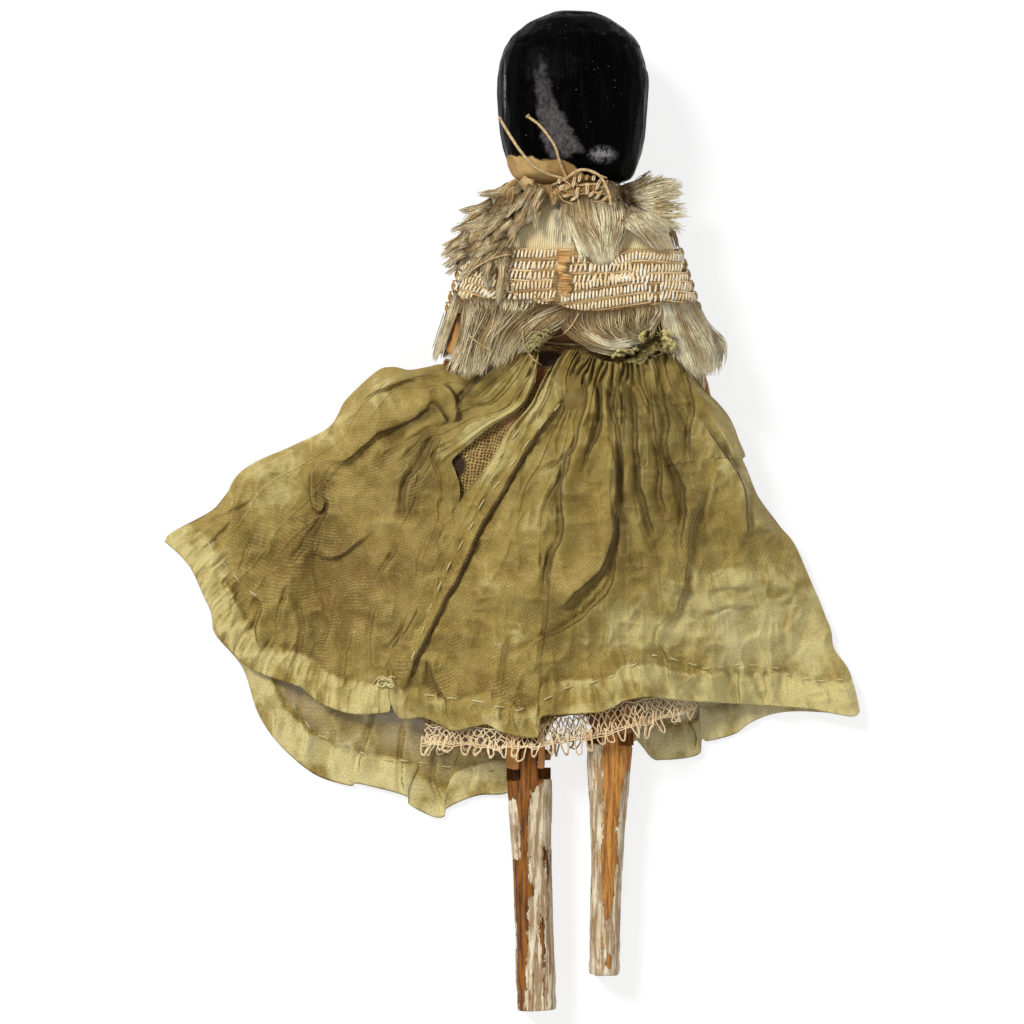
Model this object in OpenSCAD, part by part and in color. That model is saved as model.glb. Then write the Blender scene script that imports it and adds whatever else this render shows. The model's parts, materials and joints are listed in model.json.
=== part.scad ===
/* [Head and torso] */
// Height of the carved head from crown to nape
head_h = 23.7; // [18:0.1:28]
// Width of the head across the temples
head_w = 21.1; // [18:0.1:25]
// Depth of the head from face to back
head_depth = 19; // [16:0.5:22]
// How far the nose stands off the face
nose_reach = 0.9; // [0.5:0.1:1.4]
// Thickness of the neck
neck_d = 9.2; // [8:0.1:10]
// Distance from the nape to the hip peg
torso_len = 47.6; // [44:0.2:52]
// Distance from the nape down to the shoulder peg
shoulder_drop = 7.2; // [6.5:0.1:8]
// Distance from the nape down to the waist
waist_drop = 23; // [20:0.5:25]
// Width of the torso between its flat shoulder faces
shoulder_w = 15; // [14:0.2:16]
// Width of the waist
waist_w = 12; // [10:0.2:13]
// Width of the hips
hip_w = 20; // [18.8:0.2:21]
// Depth of the chest
chest_depth = 11; // [10:0.2:12]
// Depth of the waist
waist_depth = 8; // [7:0.2:9]
// Depth of the hips
hip_depth = 11.4; // [10.8:0.2:11.6]
// How far the hips lie left of the head's middle, from the carving
hip_shift = 0.6; // [0:0.1:1]
// Width of the tongue between the thighs
crotch_w = 6.4; // [5.6:0.2:7]

/* [Arms] */
// Shoulder peg to elbow peg
upper_arm_len = 17; // [15:0.5:19]
// Elbow peg to fingertips
forearm_len = 19; // [17:0.5:21]
// Width and depth of the upper arm
arm_w = 4.6; // [4:0.1:5]
// Outward lean of the arms from the body
arm_splay = 18; // [14:0.5:22]
// Width of the spoon hand
hand_w = 4; // [3.6:0.1:4.2]
// Thickness of the spoon hand
hand_t = 2.2; // [1.8:0.1:2.6]

/* [Legs] */
// Hip peg to knee peg of the left leg
left_thigh_len = 33.3; // [31:0.5:36]
// Hip peg to knee peg of the right leg, cut shorter
right_thigh_len = 28.4; // [27:0.5:31]
// Knee peg to sole
shin_len = 35.8; // [32:0.5:40]
// Width and depth of the thigh
thigh_w = 6.6; // [6:0.1:7]
// Depth of the leg at the knee
knee_depth = 6; // [5.6:0.1:6.2]
// How far the toe stands forward of the ankle
toe_reach = 1.2; // [0.8:0.1:1.6]
// Inward lean of the left leg
left_leg_yaw = 1.8; // [0:0.1:3]
// Inward lean of the right leg
right_leg_yaw = 1.4; // [0:0.1:3]
// Height of the knee peg over the surface
knee_z = 4.5; // [4.4:0.1:5]

/* [Joints] */
// Hip and shoulder peg diameter
peg_d = 1.8; // [1.4:0.1:2]
// Knee peg diameter
knee_peg_d = 1.5; // [1.2:0.1:1.6]
// Elbow peg diameter
elbow_peg_d = 1.2; // [1:0.1:1.3]
// Tongue thickness at the knee
knee_tongue_w = 2.4; // [2:0.1:2.8]
// Tongue thickness at the elbow
elbow_tongue_w = 1.7; // [1.4:0.1:1.9]
// Radial clearance of a turning bore on its peg
running_fit = 0.05; // [0.03:0.01:0.09]
// Side clearance of a tongue in its fork
side_fit = 0.1; // [0.08:0.01:0.2]

/* [Clothes] */
// How far the skirt spreads left of the body's middle
skirt_reach_left = 57.3; // [52:0.5:60]
// How far the skirt spreads right of the body's middle
skirt_reach_right = 40.3; // [38:0.5:44]
// Length of the skirt from waist to its lowest hem
skirt_drop = 66.2; // [62:0.5:69]
// Thickness of the gathered silk
skirt_wall = 0.35; // [0.3:0.05:0.4]
// Half the width of the open-weave petticoat at its hem
petticoat_reach = 19.4; // [17:0.2:20]
// Length of the petticoat
petticoat_drop = 50; // [47:0.5:52]
// Thickness of the petticoat
petticoat_wall = 0.3; // [0.2:0.05:0.35]
// Depth of the lace edging
lace_w = 5; // [3:0.2:5.5]
// Thickness of the ribbed silk cape
cape_wall = 0.6; // [0.4:0.1:0.8]
// Length of the cape from neck to lower edge
cape_drop = 16; // [14:0.5:17]
// Thickness of the looped braid
braid_t = 0.9; // [0.7:0.1:1.1]
// Height of one row of braid
braid_row = 1.5; // [1.2:0.1:1.6]
// Thickness of the collar of silk floss
collar_t = 1.3; // [1:0.1:1.5]
// Length of the lower floss fringe
fringe_len = 6.4; // [5:0.2:7]
// Thickness of the lower floss fringe
fringe_t = 1.1; // [0.8:0.1:1.3]
// Thread of the ties
thread_d = 0.4; // [0.3:0.05:0.5]
// Clearance between two layers of clothes
layer_gap = 0.2; // [0.15:0.01:0.25]

/* [Hidden] */

wood = "burlywood";
LEFT = 0;
RIGHT = 1;
function sgn(side) = side == LEFT ? -1 : 1;
function mix(a, b, t) = a + (b - a) * t;
function ease(t) = let(k = min(1, max(0, t))) k * k * (3 - 2 * k);

// Heights over the surface that the doll lies on, face down
body_z = head_depth / 2 + nose_reach;
hip_z = body_z - nose_reach / 2;
shoulder_z = hip_z;
ankle_r_share = 0.42;
foot_z = thigh_w * ankle_r_share + toe_reach;
hand_z = hand_w * 0.32;

// Leaning angles that follow from those heights
function thigh_len(side) = side == LEFT ? left_thigh_len : right_thigh_len;
function leg_yaw(side) = side == LEFT ? left_leg_yaw : -right_leg_yaw;
function thigh_drop(side) = asin((hip_z - knee_z) / thigh_len(side));
shin_slope = asin((knee_z - foot_z) / shin_len);
function knee_bend(side) = thigh_drop(side) - shin_slope;
arm_slope = asin((shoulder_z - hand_z) / (upper_arm_len + forearm_len));

// Places along and across the doll, with the middle of the whole at the origin
leg_run = (left_thigh_len * cos(thigh_drop(LEFT)) + shin_len * cos(shin_slope)) * cos(left_leg_yaw);
crown_y = (head_h + torso_len + leg_run) / 2;
nape_y = crown_y - head_h;
hip_y = nape_y - torso_len;
shoulder_y = nape_y - shoulder_drop;
waist_y = nape_y - waist_drop;
mid_x = (skirt_reach_left - skirt_reach_right) / 2;
hip_x = mid_x - hip_shift;
function leg_x(side) = hip_x + sgn(side) * (crotch_w / 2 + side_fit + thigh_w / 2);
function arm_x(side) = mid_x + sgn(side) * (shoulder_w / 2 + side_fit + arm_w / 2);

// Cuts run this far past a surface
overrun = 1;
body_sides = 28;
limb_sides = 18;

// Loft of rounded carved sections along -Y. Each row is [distance along, half width, half depth,
// sideways offset, upward offset]; a higher squareness gives flatter carved sides.
function section(row, sides, squareness) = [for (i = [0:sides - 1])
    let(a = 360 * (i + 0.5) / sides, c = cos(a), s = sin(a))
    [row[3] + row[1] * sign(c) * pow(abs(c), 2 / squareness), -row[0],
     row[4] + row[2] * sign(s) * pow(abs(s), 2 / squareness)]];

module loft(rows, sides, squareness) {
    n = sides;
    m = len(rows);
    points = [for (row = rows) each section(row, sides, squareness)];
    walls = [for (j = [0:m - 2], i = [0:n - 1])
        let(a = j * n + i, b = j * n + (i + 1) % n)
        each [[a, b + n, b], [a, a + n, b + n]]];
    caps = [[for (i = [0:n - 1]) i], [for (i = [n - 1:-1:0]) (m - 1) * n + i]];
    polyhedron(points = points, faces = concat(walls, caps), convexity = 6);
}

// Closed shell between an outer and an inner set of matching rings, open at both ends
module ring_shell(outer, inner) {
    m = len(outer);
    n = len(outer[0]);
    points = concat([for (ring = outer) each ring], [for (ring = inner) each ring]);
    skin = m * n;
    outside = [for (j = [0:m - 2], i = [0:n - 1])
        let(a = j * n + i, b = j * n + (i + 1) % n)
        each [[a, b + n, b], [a, a + n, b + n]]];
    inside = [for (j = [0:m - 2], i = [0:n - 1])
        let(a = skin + j * n + i, b = skin + j * n + (i + 1) % n)
        each [[a, b, b + n], [a, b + n, a + n]]];
    start = [for (i = [0:n - 1])
        let(a = i, b = (i + 1) % n)
        each [[a, b, skin + b], [a, skin + b, skin + a]]];
    last = (m - 1) * n;
    finish = [for (i = [0:n - 1])
        let(a = last + i, b = last + (i + 1) % n)
        each [[a, skin + b, b], [a, skin + a, skin + b]]];
    polyhedron(points = points, faces = concat(outside, inside, start, finish), convexity = 8);
}

// Tube of a round thread swept along a list of points, closed into a loop or with two cut ends
function unit(v) = v / norm(v);
function across(t) = unit(cross(t, abs(t[2]) < 0.9 ? [0, 0, 1] : [1, 0, 0]));
module thread(path, d, closed) {
    n = len(path);
    sides = 8;
    points = [for (i = [0:n - 1])
        let(before = closed ? path[(i + n - 1) % n] : path[max(i - 1, 0)],
            after = closed ? path[(i + 1) % n] : path[min(i + 1, n - 1)],
            t = unit(after - before), u = across(t), w = cross(t, u))
        each [for (k = [0:sides - 1]) let(a = 360 * k / sides)
            path[i] + (u * cos(a) + w * sin(a)) * d / 2]];
    spans = closed ? n - 1 : n - 2;
    walls = [for (j = [0:spans], k = [0:sides - 1])
        let(j2 = (j + 1) % n, a = j * sides + k, b = j * sides + (k + 1) % sides,
            c = j2 * sides + k, e = j2 * sides + (k + 1) % sides)
        each [[a, e, b], [a, c, e]]];
    caps = closed ? [] : [[for (k = [0:sides - 1]) k],
        [for (k = [sides - 1:-1:0]) (n - 1) * sides + k]];
    polyhedron(points = points, faces = concat(walls, caps), convexity = 8);
}

// Frames that each limb is made in: its peg at zero, the limb along -Y
module hip_frame(side)
    translate([leg_x(side), hip_y, hip_z])
    rotate([thigh_drop(side), 0, 0]) rotate([0, 0, leg_yaw(side)]) children();
module knee_frame(side)
    hip_frame(side) translate([0, -thigh_len(side), 0]) rotate([-knee_bend(side), 0, 0]) children();
module shoulder_frame(side)
    translate([arm_x(side), shoulder_y, shoulder_z])
    rotate([arm_slope, 0, 0]) rotate([0, 0, sgn(side) * arm_splay]) children();
module elbow_frame(side)
    shoulder_frame(side) translate([0, -upper_arm_len, 0]) children();

module cross_peg(d, length) rotate([0, 90, 0]) cylinder(d = d, h = length, center = true, $fn = 32);

// Head: widths and depths from the crown down, as shares of its height, half width and half depth
head_shares = [[0, 0.14, 0.14], [0.012, 0.3, 0.3], [0.045, 0.48, 0.47], [0.077, 0.6, 0.58],
    [0.148, 0.8, 0.76], [0.22, 0.9, 0.86], [0.3, 0.96, 0.93], [0.4, 1, 0.98], [0.5, 1, 1],
    [0.6, 0.985, 1], [0.72, 0.96, 0.99], [0.82, 0.915, 0.95], [0.9, 0.865, 0.88],
    [0.97, 0.8, 0.78], [1, 0.72, 0.68]];
neck_share = 0.12;
nose_shares = [0.42, 0.64];
nose_w = 2.4;
squareness = 2.5;
bust_rise = 0.5;

module head_and_torso() {
    hips = -hip_shift;
    head = [for (s = head_shares)
        [s[0] * head_h - crown_y, s[1] * head_w / 2, s[2] * head_depth / 2, 0, 0]];
    neck = [[neck_d * neck_share - nape_y, neck_d / 2, neck_d / 2, 0, 0],
        [shoulder_drop / 2 - nape_y, neck_d / 2, neck_d / 2, 0, 0]];
    chest = [[-shoulder_y - arm_w / 2, mix(neck_d, shoulder_w, 0.75) / 2, chest_depth * 0.42, 0, 0],
        [-shoulder_y - arm_w / 4, shoulder_w * 0.49, chest_depth * 0.47, 0, 0],
        [-shoulder_y, shoulder_w / 2, chest_depth / 2, 0, 0],
        [-shoulder_y + arm_w, shoulder_w / 2, chest_depth / 2, 0, -bust_rise],
        [-mix(shoulder_y, waist_y, 0.6), mix(shoulder_w, waist_w, 0.5) / 2,
         mix(chest_depth, waist_depth, 0.45) / 2, hips * 0.3, -bust_rise / 2],
        [-waist_y, waist_w / 2, waist_depth / 2, hips * 0.5, 0]];
    seat = [[-mix(waist_y, hip_y, 0.2), mix(waist_w, hip_w, 0.3) / 2,
             mix(waist_depth, hip_depth, 0.3) / 2, hips * 0.7, 0],
        [-mix(waist_y, hip_y, 0.45), mix(waist_w, hip_w, 0.8) / 2,
         mix(waist_depth, hip_depth, 0.75) / 2, hips, 0],
        [-mix(waist_y, hip_y, 0.7), hip_w / 2, hip_depth / 2, hips, 0],
        [-hip_y - thigh_w / 2, hip_w / 2, hip_depth / 2, hips, 0],
        [-hip_y, hip_w * 0.46, hip_depth * 0.46, hips, 0],
        [-hip_y + thigh_w * 0.3, hip_w * 0.42, hip_depth * 0.4, hips, 0],
        [-hip_y + thigh_w * 0.5, hip_w * 0.36, hip_depth * 0.26, hips, 0]];
    color(wood) difference() {
        union() {
            translate([mid_x, 0, body_z])
                loft(concat(head, neck, chest, seat), body_sides, squareness);
            nose();
        }
        for (side = [LEFT, RIGHT]) {
            hip_pocket(side);
            shoulder_flat(side);
        }
        translate([mid_x, shoulder_y, shoulder_z]) cross_peg(peg_d, shoulder_w + overrun);
        translate([hip_x, hip_y, hip_z]) cross_peg(peg_d, crotch_w + overrun);
    }
}

module nose() {
    tip_r = nose_w / 2;
    hull() {
        translate([mid_x, crown_y - nose_shares[0] * head_h, nose_reach + tip_r * 1.4])
            sphere(r = tip_r / 2, $fn = 16);
        translate([mid_x, crown_y - nose_shares[1] * head_h, tip_r])
            sphere(r = tip_r, $fn = 16);
    }
}

// Room for the round top of a thigh, open to the front so that the doll can sit
module hip_pocket(side) {
    room = thigh_w / 2 + side_fit * 4;
    from_x = sgn(side) * crotch_w / 2;
    width = hip_w / 2;
    translate([hip_x + (side == LEFT ? from_x - width : from_x), hip_y, hip_z]) {
        rotate([0, 90, 0]) cylinder(r = room, h = width, $fn = 48);
        translate([0, -hip_depth, -hip_depth]) cube([width, hip_depth, 2 * hip_depth]);
        translate([0, -hip_depth, -hip_depth]) cube([width, hip_depth + room, hip_depth]);
    }
}

// Flat face that the arm's inner side turns on
module shoulder_flat(side) {
    width = arm_w;
    translate([mid_x + (side == LEFT ? -shoulder_w / 2 - width : shoulder_w / 2),
        shoulder_y - arm_w, shoulder_z - chest_depth])
        cube([width, arm_w * 2, 2 * chest_depth]);
}

// Everything on the outer side of the shoulder's flat face
module outer_side(side) {
    span = upper_arm_len + forearm_len;
    face = shoulder_w / 2 + side_fit;
    translate([mid_x + (side == LEFT ? -face - span : face), shoulder_y - span, shoulder_z - span])
        cube([span, 2 * span, 2 * span]);
}

elbow_seat = 2.8;
elbow_prong = 1.6;
elbow_tongue_r = 1.9;
arm_top = 2.5;
knee_seat = 3.4;
knee_prong = 1.5;
knee_tongue_r = 2.7;
thigh_top_shares = [[-0.5, 0.3], [-0.42, 0.6], [-0.28, 0.84], [-0.1, 0.97], [0.12, 1]];
joint_room = 0.3;

// Slot of a fork whose peg is at zero, open towards the end of the limb
module fork_slot(width, prong, bottom, depth)
    translate([-width / 2, -prong - overrun, -depth])
    cube([width, prong + overrun + bottom, 2 * depth]);

// Tongue with a round end about its peg, reaching down into the limb that carries it
module tongue(width, r, reach) {
    rotate([0, 90, 0]) cylinder(r = r, h = width, center = true, $fn = 40);
    translate([-width / 2, -reach, -r]) cube([width, reach, 2 * r]);
}

module upper_arm(side) {
    half = arm_w / 2;
    rows = [[-arm_top, half * 0.4, half * 0.4, 0, 0], [-arm_top * 0.85, half * 0.72, half * 0.72, 0, 0],
        [-arm_top * 0.5, half * 0.95, half * 0.95, 0, 0], [0, half, half, 0, 0],
        [upper_arm_len * 0.45, half * 0.95, half * 0.93, 0, 0],
        [upper_arm_len * 0.8, half * 0.88, half * 0.88, 0, 0],
        [upper_arm_len + elbow_prong, half * 0.92, half * 0.91, 0, 0]];
    color(wood) difference() {
        intersection() {
            shoulder_frame(side) loft(rows, limb_sides, squareness);
            outer_side(side);
        }
        elbow_frame(side) {
            fork_slot(elbow_tongue_w + 2 * side_fit, elbow_prong,
                elbow_tongue_r + joint_room, arm_w);
            cross_peg(elbow_peg_d, arm_w + overrun);
        }
        translate([arm_x(side), shoulder_y, shoulder_z])
            cross_peg(peg_d + 2 * running_fit, arm_w + overrun);
    }
}

module forearm(side) {
    half = arm_w / 2;
    rows = [[elbow_seat, half * 0.9, half * 0.88, 0, 0],
        [forearm_len * 0.35, half * 0.85, half * 0.82, 0, 0],
        [forearm_len * 0.66, half * 0.6, half * 0.62, 0, 0],
        [forearm_len * 0.76, hand_t / 2, hand_w * 0.42, 0, 0],
        [forearm_len * 0.88, hand_t / 2, hand_w / 2, 0, 0],
        [forearm_len * 0.96, hand_t * 0.42, hand_w * 0.4, 0, 0],
        [forearm_len, hand_t * 0.25, hand_w * 0.2, 0, 0]];
    color("tan") elbow_frame(side) difference() {
        union() {
            loft(rows, limb_sides, squareness);
            tongue(elbow_tongue_w, elbow_tongue_r, elbow_seat + half);
        }
        cross_peg(elbow_peg_d + 2 * running_fit, arm_w);
    }
}

module thigh(side) {
    half = thigh_w / 2;
    length = thigh_len(side);
    top = [for (s = thigh_top_shares) [s[0] * thigh_w, half, s[1] * half, 0, 0]];
    rest = [[length * 0.4, half, half, 0, 0], [length * 0.8, half * 0.97, knee_depth / 2, 0, 0],
        [length + knee_prong, half * 0.96, knee_depth / 2, 0, 0]];
    color(wood) difference() {
        intersection() {
            hip_frame(side) loft(concat(top, rest), limb_sides, squareness * 1.1);
            thigh_side(side);
        }
        hip_frame(side) translate([0, -length, 0]) {
            fork_slot(knee_tongue_w + 2 * side_fit, knee_prong, knee_tongue_r + joint_room, thigh_w);
            cross_peg(knee_peg_d, thigh_w + overrun);
        }
        translate([leg_x(side), hip_y, hip_z])
            cross_peg(peg_d + 2 * running_fit, thigh_w + overrun);
    }
}

// Everything on the outer side of the tongue between the thighs
module thigh_side(side) {
    span = left_thigh_len + shin_len;
    face = crotch_w / 2 + side_fit;
    translate([hip_x + (side == LEFT ? -face - span : face), hip_y - span, hip_z - span])
        cube([span, 2 * span, 2 * span]);
}

// Shins: widths from the knee down, as shares of the shin's length and the thigh's half width
left_shin_shares = [[0.17, 0.93, 0.86], [0.4, 0.82, 0.8], [0.7, 0.8, 0.8], [0.88, 0.84, 0.84]];
right_shin_shares = [[0.14, 0.96, 0.88], [0.35, 0.78, 0.8], [0.6, 0.65, 0.76], [0.88, 0.64, 0.84]];
foot_shares = [[0.93, 0.9], [0.97, 1], [1, 0.92]];

module shin(side) {
    half = thigh_w / 2;
    shares = side == LEFT ? left_shin_shares : right_shin_shares;
    ankle = shares[len(shares) - 1];
    rows = concat([[knee_seat, half * 0.94, knee_depth * 0.45, 0, 0]],
        [for (s = shares) [s[0] * shin_len, s[1] * half, s[2] * half, 0, 0]],
        [for (f = foot_shares) [f[0] * shin_len, ankle[1] * half * mix(1, f[1], 0.5),
            half * ankle_r_share * 2 + toe_reach / 2 * (f[1] - 0.02), 0,
            -toe_reach / 2 * f[1]]]);
    color("antiquewhite") knee_frame(side) difference() {
        union() {
            loft(rows, limb_sides, squareness);
            tongue(knee_tongue_w, knee_tongue_r, knee_seat + half);
        }
        cross_peg(knee_peg_d + 2 * running_fit, thigh_w);
    }
}

peg_flush = 0.2;
module shoulder_peg(side) {
    reach = shoulder_w / 2 + side_fit + arm_w - peg_flush;
    color("peru") translate([mid_x + (side == LEFT ? -reach : 0), shoulder_y, shoulder_z])
        rotate([0, 90, 0]) cylinder(d = peg_d, h = reach, $fn = 32);
}
module hip_peg() {
    reach = crotch_w / 2 + side_fit + thigh_w - peg_flush;
    color("peru") translate([hip_x, hip_y, hip_z]) cross_peg(peg_d, 2 * reach);
}
module elbow_peg(side)
    color("peru") elbow_frame(side) cross_peg(elbow_peg_d, arm_w * 0.92 - peg_flush);
module knee_peg(side)
    color("peru") hip_frame(side) translate([0, -thigh_len(side), 0])
        cross_peg(knee_peg_d, thigh_w * 0.96 - peg_flush);

// Half width of the arms and shoulders together at a height, from the arms' lean
function arms_half(y) = shoulder_w / 2 + side_fit + arm_w
    + max(0, shoulder_y - y) * tan(arm_splay);

// Shells of the cape and its trims: rings about the chest and the arms. Each row is
// [height along the doll, half width, half depth, how far its middle lies below the chest's].
wrap_sides = 36;
wrap_squareness = 3.5;
function wrap_ring(row, grow, ripple, lobes, phase) = [for (i = [0:wrap_sides - 1])
    let(a = 360 * (i + 0.5) / wrap_sides, c = cos(a), s = sin(a),
        wave = ripple * sin(lobes * a + phase))
    [mid_x + (row[1] + grow + wave) * sign(c) * pow(abs(c), 2 / wrap_squareness), row[0],
     body_z - row[3] + (row[2] + grow + wave / 2) * sign(s) * pow(abs(s), 2 / wrap_squareness)]];

cape_top = nape_y - shoulder_drop * 0.36;
cape_end = cape_top - cape_drop;
cape_ease = 0.6;
arm_sink_share = 0.1;
neck_room = neck_d / 2 + cape_ease;
chest_room = chest_depth / 2 + cape_ease + bust_rise;
function wrap_row(y) = [y, arms_half(y) + cape_ease * 1.4,
    chest_room + max(0, shoulder_y - y) * 0.03, max(0, shoulder_y - y) * arm_sink_share];
cape_rows = [[cape_top, neck_room, neck_room, 0],
    [mix(cape_top, shoulder_y, 0.16), neck_room * 1.6, neck_room * 1.08, 0],
    [mix(cape_top, shoulder_y, 0.34), arms_half(shoulder_y) + cape_ease, neck_room * 1.16, 0],
    wrap_row(shoulder_y), wrap_row(mix(shoulder_y, cape_end, 0.5)), wrap_row(cape_end)];

module silk_cape() {
    rib_h = cape_wall / 6;
    ribs = 13;
    color("beige") ring_shell([for (row = cape_rows) wrap_ring(row, cape_wall, rib_h, ribs, 0)],
        [for (row = cape_rows) wrap_ring(row, 0, 0, 1, 0)]);
}

braid_rows = 6;
braid_low = cape_end + layer_gap;
module braid_band() {
    steps = braid_rows * 2;
    levels = [for (i = [0:steps]) braid_low + braid_row * i / 2];
    base = cape_wall * 7 / 6 + layer_gap;
    color("wheat") ring_shell(
        [for (i = [steps:-1:0])
            wrap_ring(wrap_row(levels[i]), base + (i % 2 == 0 ? braid_t * 0.5 : braid_t), 0, 1, 0)],
        [for (i = [steps:-1:0]) wrap_ring(wrap_row(levels[i]), base, 0, 1, 0)]);
}

// The darker turned end of the braid, stitched down over the band at the back
tab_w = 2.2;
module braid_tab() {
    top = braid_low + braid_row * braid_rows;
    lift = cape_wall * 7 / 6 + layer_gap * 2 + braid_t;
    color("peru") translate([mid_x - tab_w * 0.9, braid_low + braid_row,
        body_z + wrap_row(top)[2] + lift])
        cube([tab_w, top - braid_low - braid_row, braid_t / 2]);
}

module floss_collar() {
    low = braid_low + braid_row * braid_rows + layer_gap;
    base = cape_wall * 7 / 6 + layer_gap;
    lobes = 10;
    rows = [cape_rows[0], cape_rows[1], cape_rows[2], cape_rows[3], wrap_row(low)];
    thick_shares = [0.4, 0.8, 1.1, 1.1, 0.6];
    color("lightgray") ring_shell(
        [for (i = [0:4]) wrap_ring(rows[i], base + collar_t * thick_shares[i],
            collar_t * 0.3 * thick_shares[i], lobes, i * 30)],
        [for (i = [0:4]) wrap_ring(rows[i], base, 0, 1, 0)]);
}

// Lower fringe: short at the middle of the back, where the skirt is tied, and long over the arms
fringe_middle_share = 0.3;
module floss_fringe() {
    top = cape_end - layer_gap;
    lobes = 10;
    steps = 4;
    thick_shares = [0.5, 0.9, 1.1, 1, 0.4];
    function hang(point, i) = let(a = 360 * (i + 0.5) / wrap_sides)
        [point[0], top - (top - point[1]) * mix(fringe_middle_share, 1, pow(abs(cos(a)), 1.6)), point[2]];
    function level(share, grow, ripple) = let(ring = wrap_ring(wrap_row(top - fringe_len * share),
        grow, ripple, lobes, share * 90))
        [for (i = [0:wrap_sides - 1]) hang(ring[i], i)];
    color("gainsboro") ring_shell(
        [for (k = [0:steps]) level(k / steps, fringe_t * thick_shares[k],
            fringe_t * 0.25 * thick_shares[k])],
        [for (k = [0:steps]) level(k / steps, 0, 0)]);
}

// Height of the cloth over the doll lying under it: the highest of a few sloping ridges.
// Each ridge is [from point, to point, height at each end, half width, fall per length].
function along(p, a, b) = min(1, max(0, ((p - a) * (b - a)) / ((b - a) * (b - a))));
function ridge(p, r) = let(t = along(p, r[0], r[1]), d = norm(p - (r[0] + (r[1] - r[0]) * t)))
    mix(r[2], r[3], t) - max(0, d - r[4]) * r[5];

limb_clear = 0.5;
function knee_at(side) = [leg_x(side) + sin(leg_yaw(side)) * thigh_len(side),
    hip_y - thigh_len(side) * cos(thigh_drop(side))];
function hand_at(side) = [arm_x(side) + sgn(side) * (upper_arm_len + forearm_len) * sin(arm_splay),
    shoulder_y - (upper_arm_len + forearm_len) * cos(arm_splay) * cos(arm_slope)];
function arm_ridge(side) = [[arm_x(side), shoulder_y], hand_at(side),
    shoulder_z + arm_w / 2 + limb_clear * 1.4, hand_z + hand_w / 2 + limb_clear * 1.4,
    arm_w * 0.7, 0.75];
function leg_ridge(side) = [[leg_x(side), hip_y], knee_at(side) - [0, shin_len / 2],
    hip_z + thigh_w / 2 + limb_clear, knee_z + knee_depth / 2 + limb_clear * 2, thigh_w * 0.6, 0.75];
seat_ridge = [[mid_x, waist_y], [hip_x, mix(waist_y, hip_y, 0.6)],
    body_z + waist_depth / 2 + limb_clear, body_z + hip_depth / 2 + limb_clear * 1.4, hip_w * 0.3, 0.5];
hip_ridge = [seat_ridge[1], [hip_x, hip_y - thigh_w / 2], seat_ridge[3],
    body_z + hip_depth * 0.42 + limb_clear, hip_w * 0.36, 0.5];
function over_body(p) = max([for (side = [LEFT, RIGHT]) ridge(p, leg_ridge(side)),
    ridge(p, seat_ridge), ridge(p, hip_ridge)]);
function over_arms(p) = max([for (side = [LEFT, RIGHT]) ridge(p, arm_ridge(side))]);

// Front layer: under the body, over the arms. It leaves the waist and drops to the surface.
floor_clear = 0.28;
hem_lift = 0.35;
waist_ease = 1.3;
waist_front = body_z - waist_depth / 2 - limb_clear;
function from_waist(p) = norm([max(0, abs(p[0] - mid_x) - waist_w / 2 - waist_ease), waist_y - p[1]]);
function skirt_front_z(p) = max(over_arms(p),
    mix(waist_front - 2 * skirt_wall - petticoat_wall - 2 * layer_gap, floor_clear,
        ease(from_waist(p) / waist_drop * 1.3)))
    + hem_lift * ease((abs(p[0] - hip_x) - petticoat_reach) / hip_w * 2)
        * ease((from_waist(p) - petticoat_drop) / lace_w);
function petticoat_front_z(p) = let(z = skirt_front_z(p))
    z + skirt_wall + layer_gap * (1 + 2 * ease((z - floor_clear) / layer_gap / 2));

// Back layers: over the body, and never under the front layer beneath them
inner_gap = 0.45;
function petticoat_back_z(p) = max(over_body(p),
    petticoat_front_z(p) + petticoat_wall + inner_gap);
function skirt_back_z(p) = max(petticoat_back_z(p) + petticoat_wall + layer_gap * 4,
    skirt_front_z(p) + skirt_wall + inner_gap * 2);

// Hem of each layer from left to right: shares of the reach to its side and of the skirt's drop
skirt_back_shares = [[-1, 0.414], [-0.86, 0.55], [-0.73, 0.69], [-0.57, 0.75], [-0.46, 0.75],
    [-0.26, 0.805], [-0.08, 0.815], [0.15, 0.765], [0.47, 0.755], [0.77, 0.765], [1, 0.776]];
skirt_front_shares = [[-1, 0.414], [-0.81, 0.683], [-0.71, 0.856], [-0.55, 0.935], [-0.31, 1],
    [-0.16, 0.95], [0, 0.9], [0.3, 0.873], [0.44, 0.857], [0.62, 0.8], [1, 0.776]];
petticoat_shares = [[-1, 1], [-0.8, 1.05], [-0.4, 1.07], [0, 1.04], [0.4, 1.02], [0.8, 1], [1, 0.96]];

function look_up(table, t) = let(n = len(table) - 1, k = min(n - 1, floor(t * n)), f = t * n - k)
    table[k] + (table[k + 1] - table[k]) * f;
function hem_point(table, t, left, right, drop) = let(s = look_up(table, t))
    [mid_x + s[0] * (s[0] < 0 ? left : right), waist_y - s[1] * drop];

// How far the side edges bow outward from a straight line, from the waist to the hem
left_bow_shares = [0, 0.014, 0.045, 0.094, 0.115, 0.087, 0.06, 0.066, 0.045, 0.018, 0];
right_bow_shares = [0, 0.16, 0.184, 0.16, 0.12, 0.13, 0.124, 0.11, 0.06, 0.025, 0];

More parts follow.
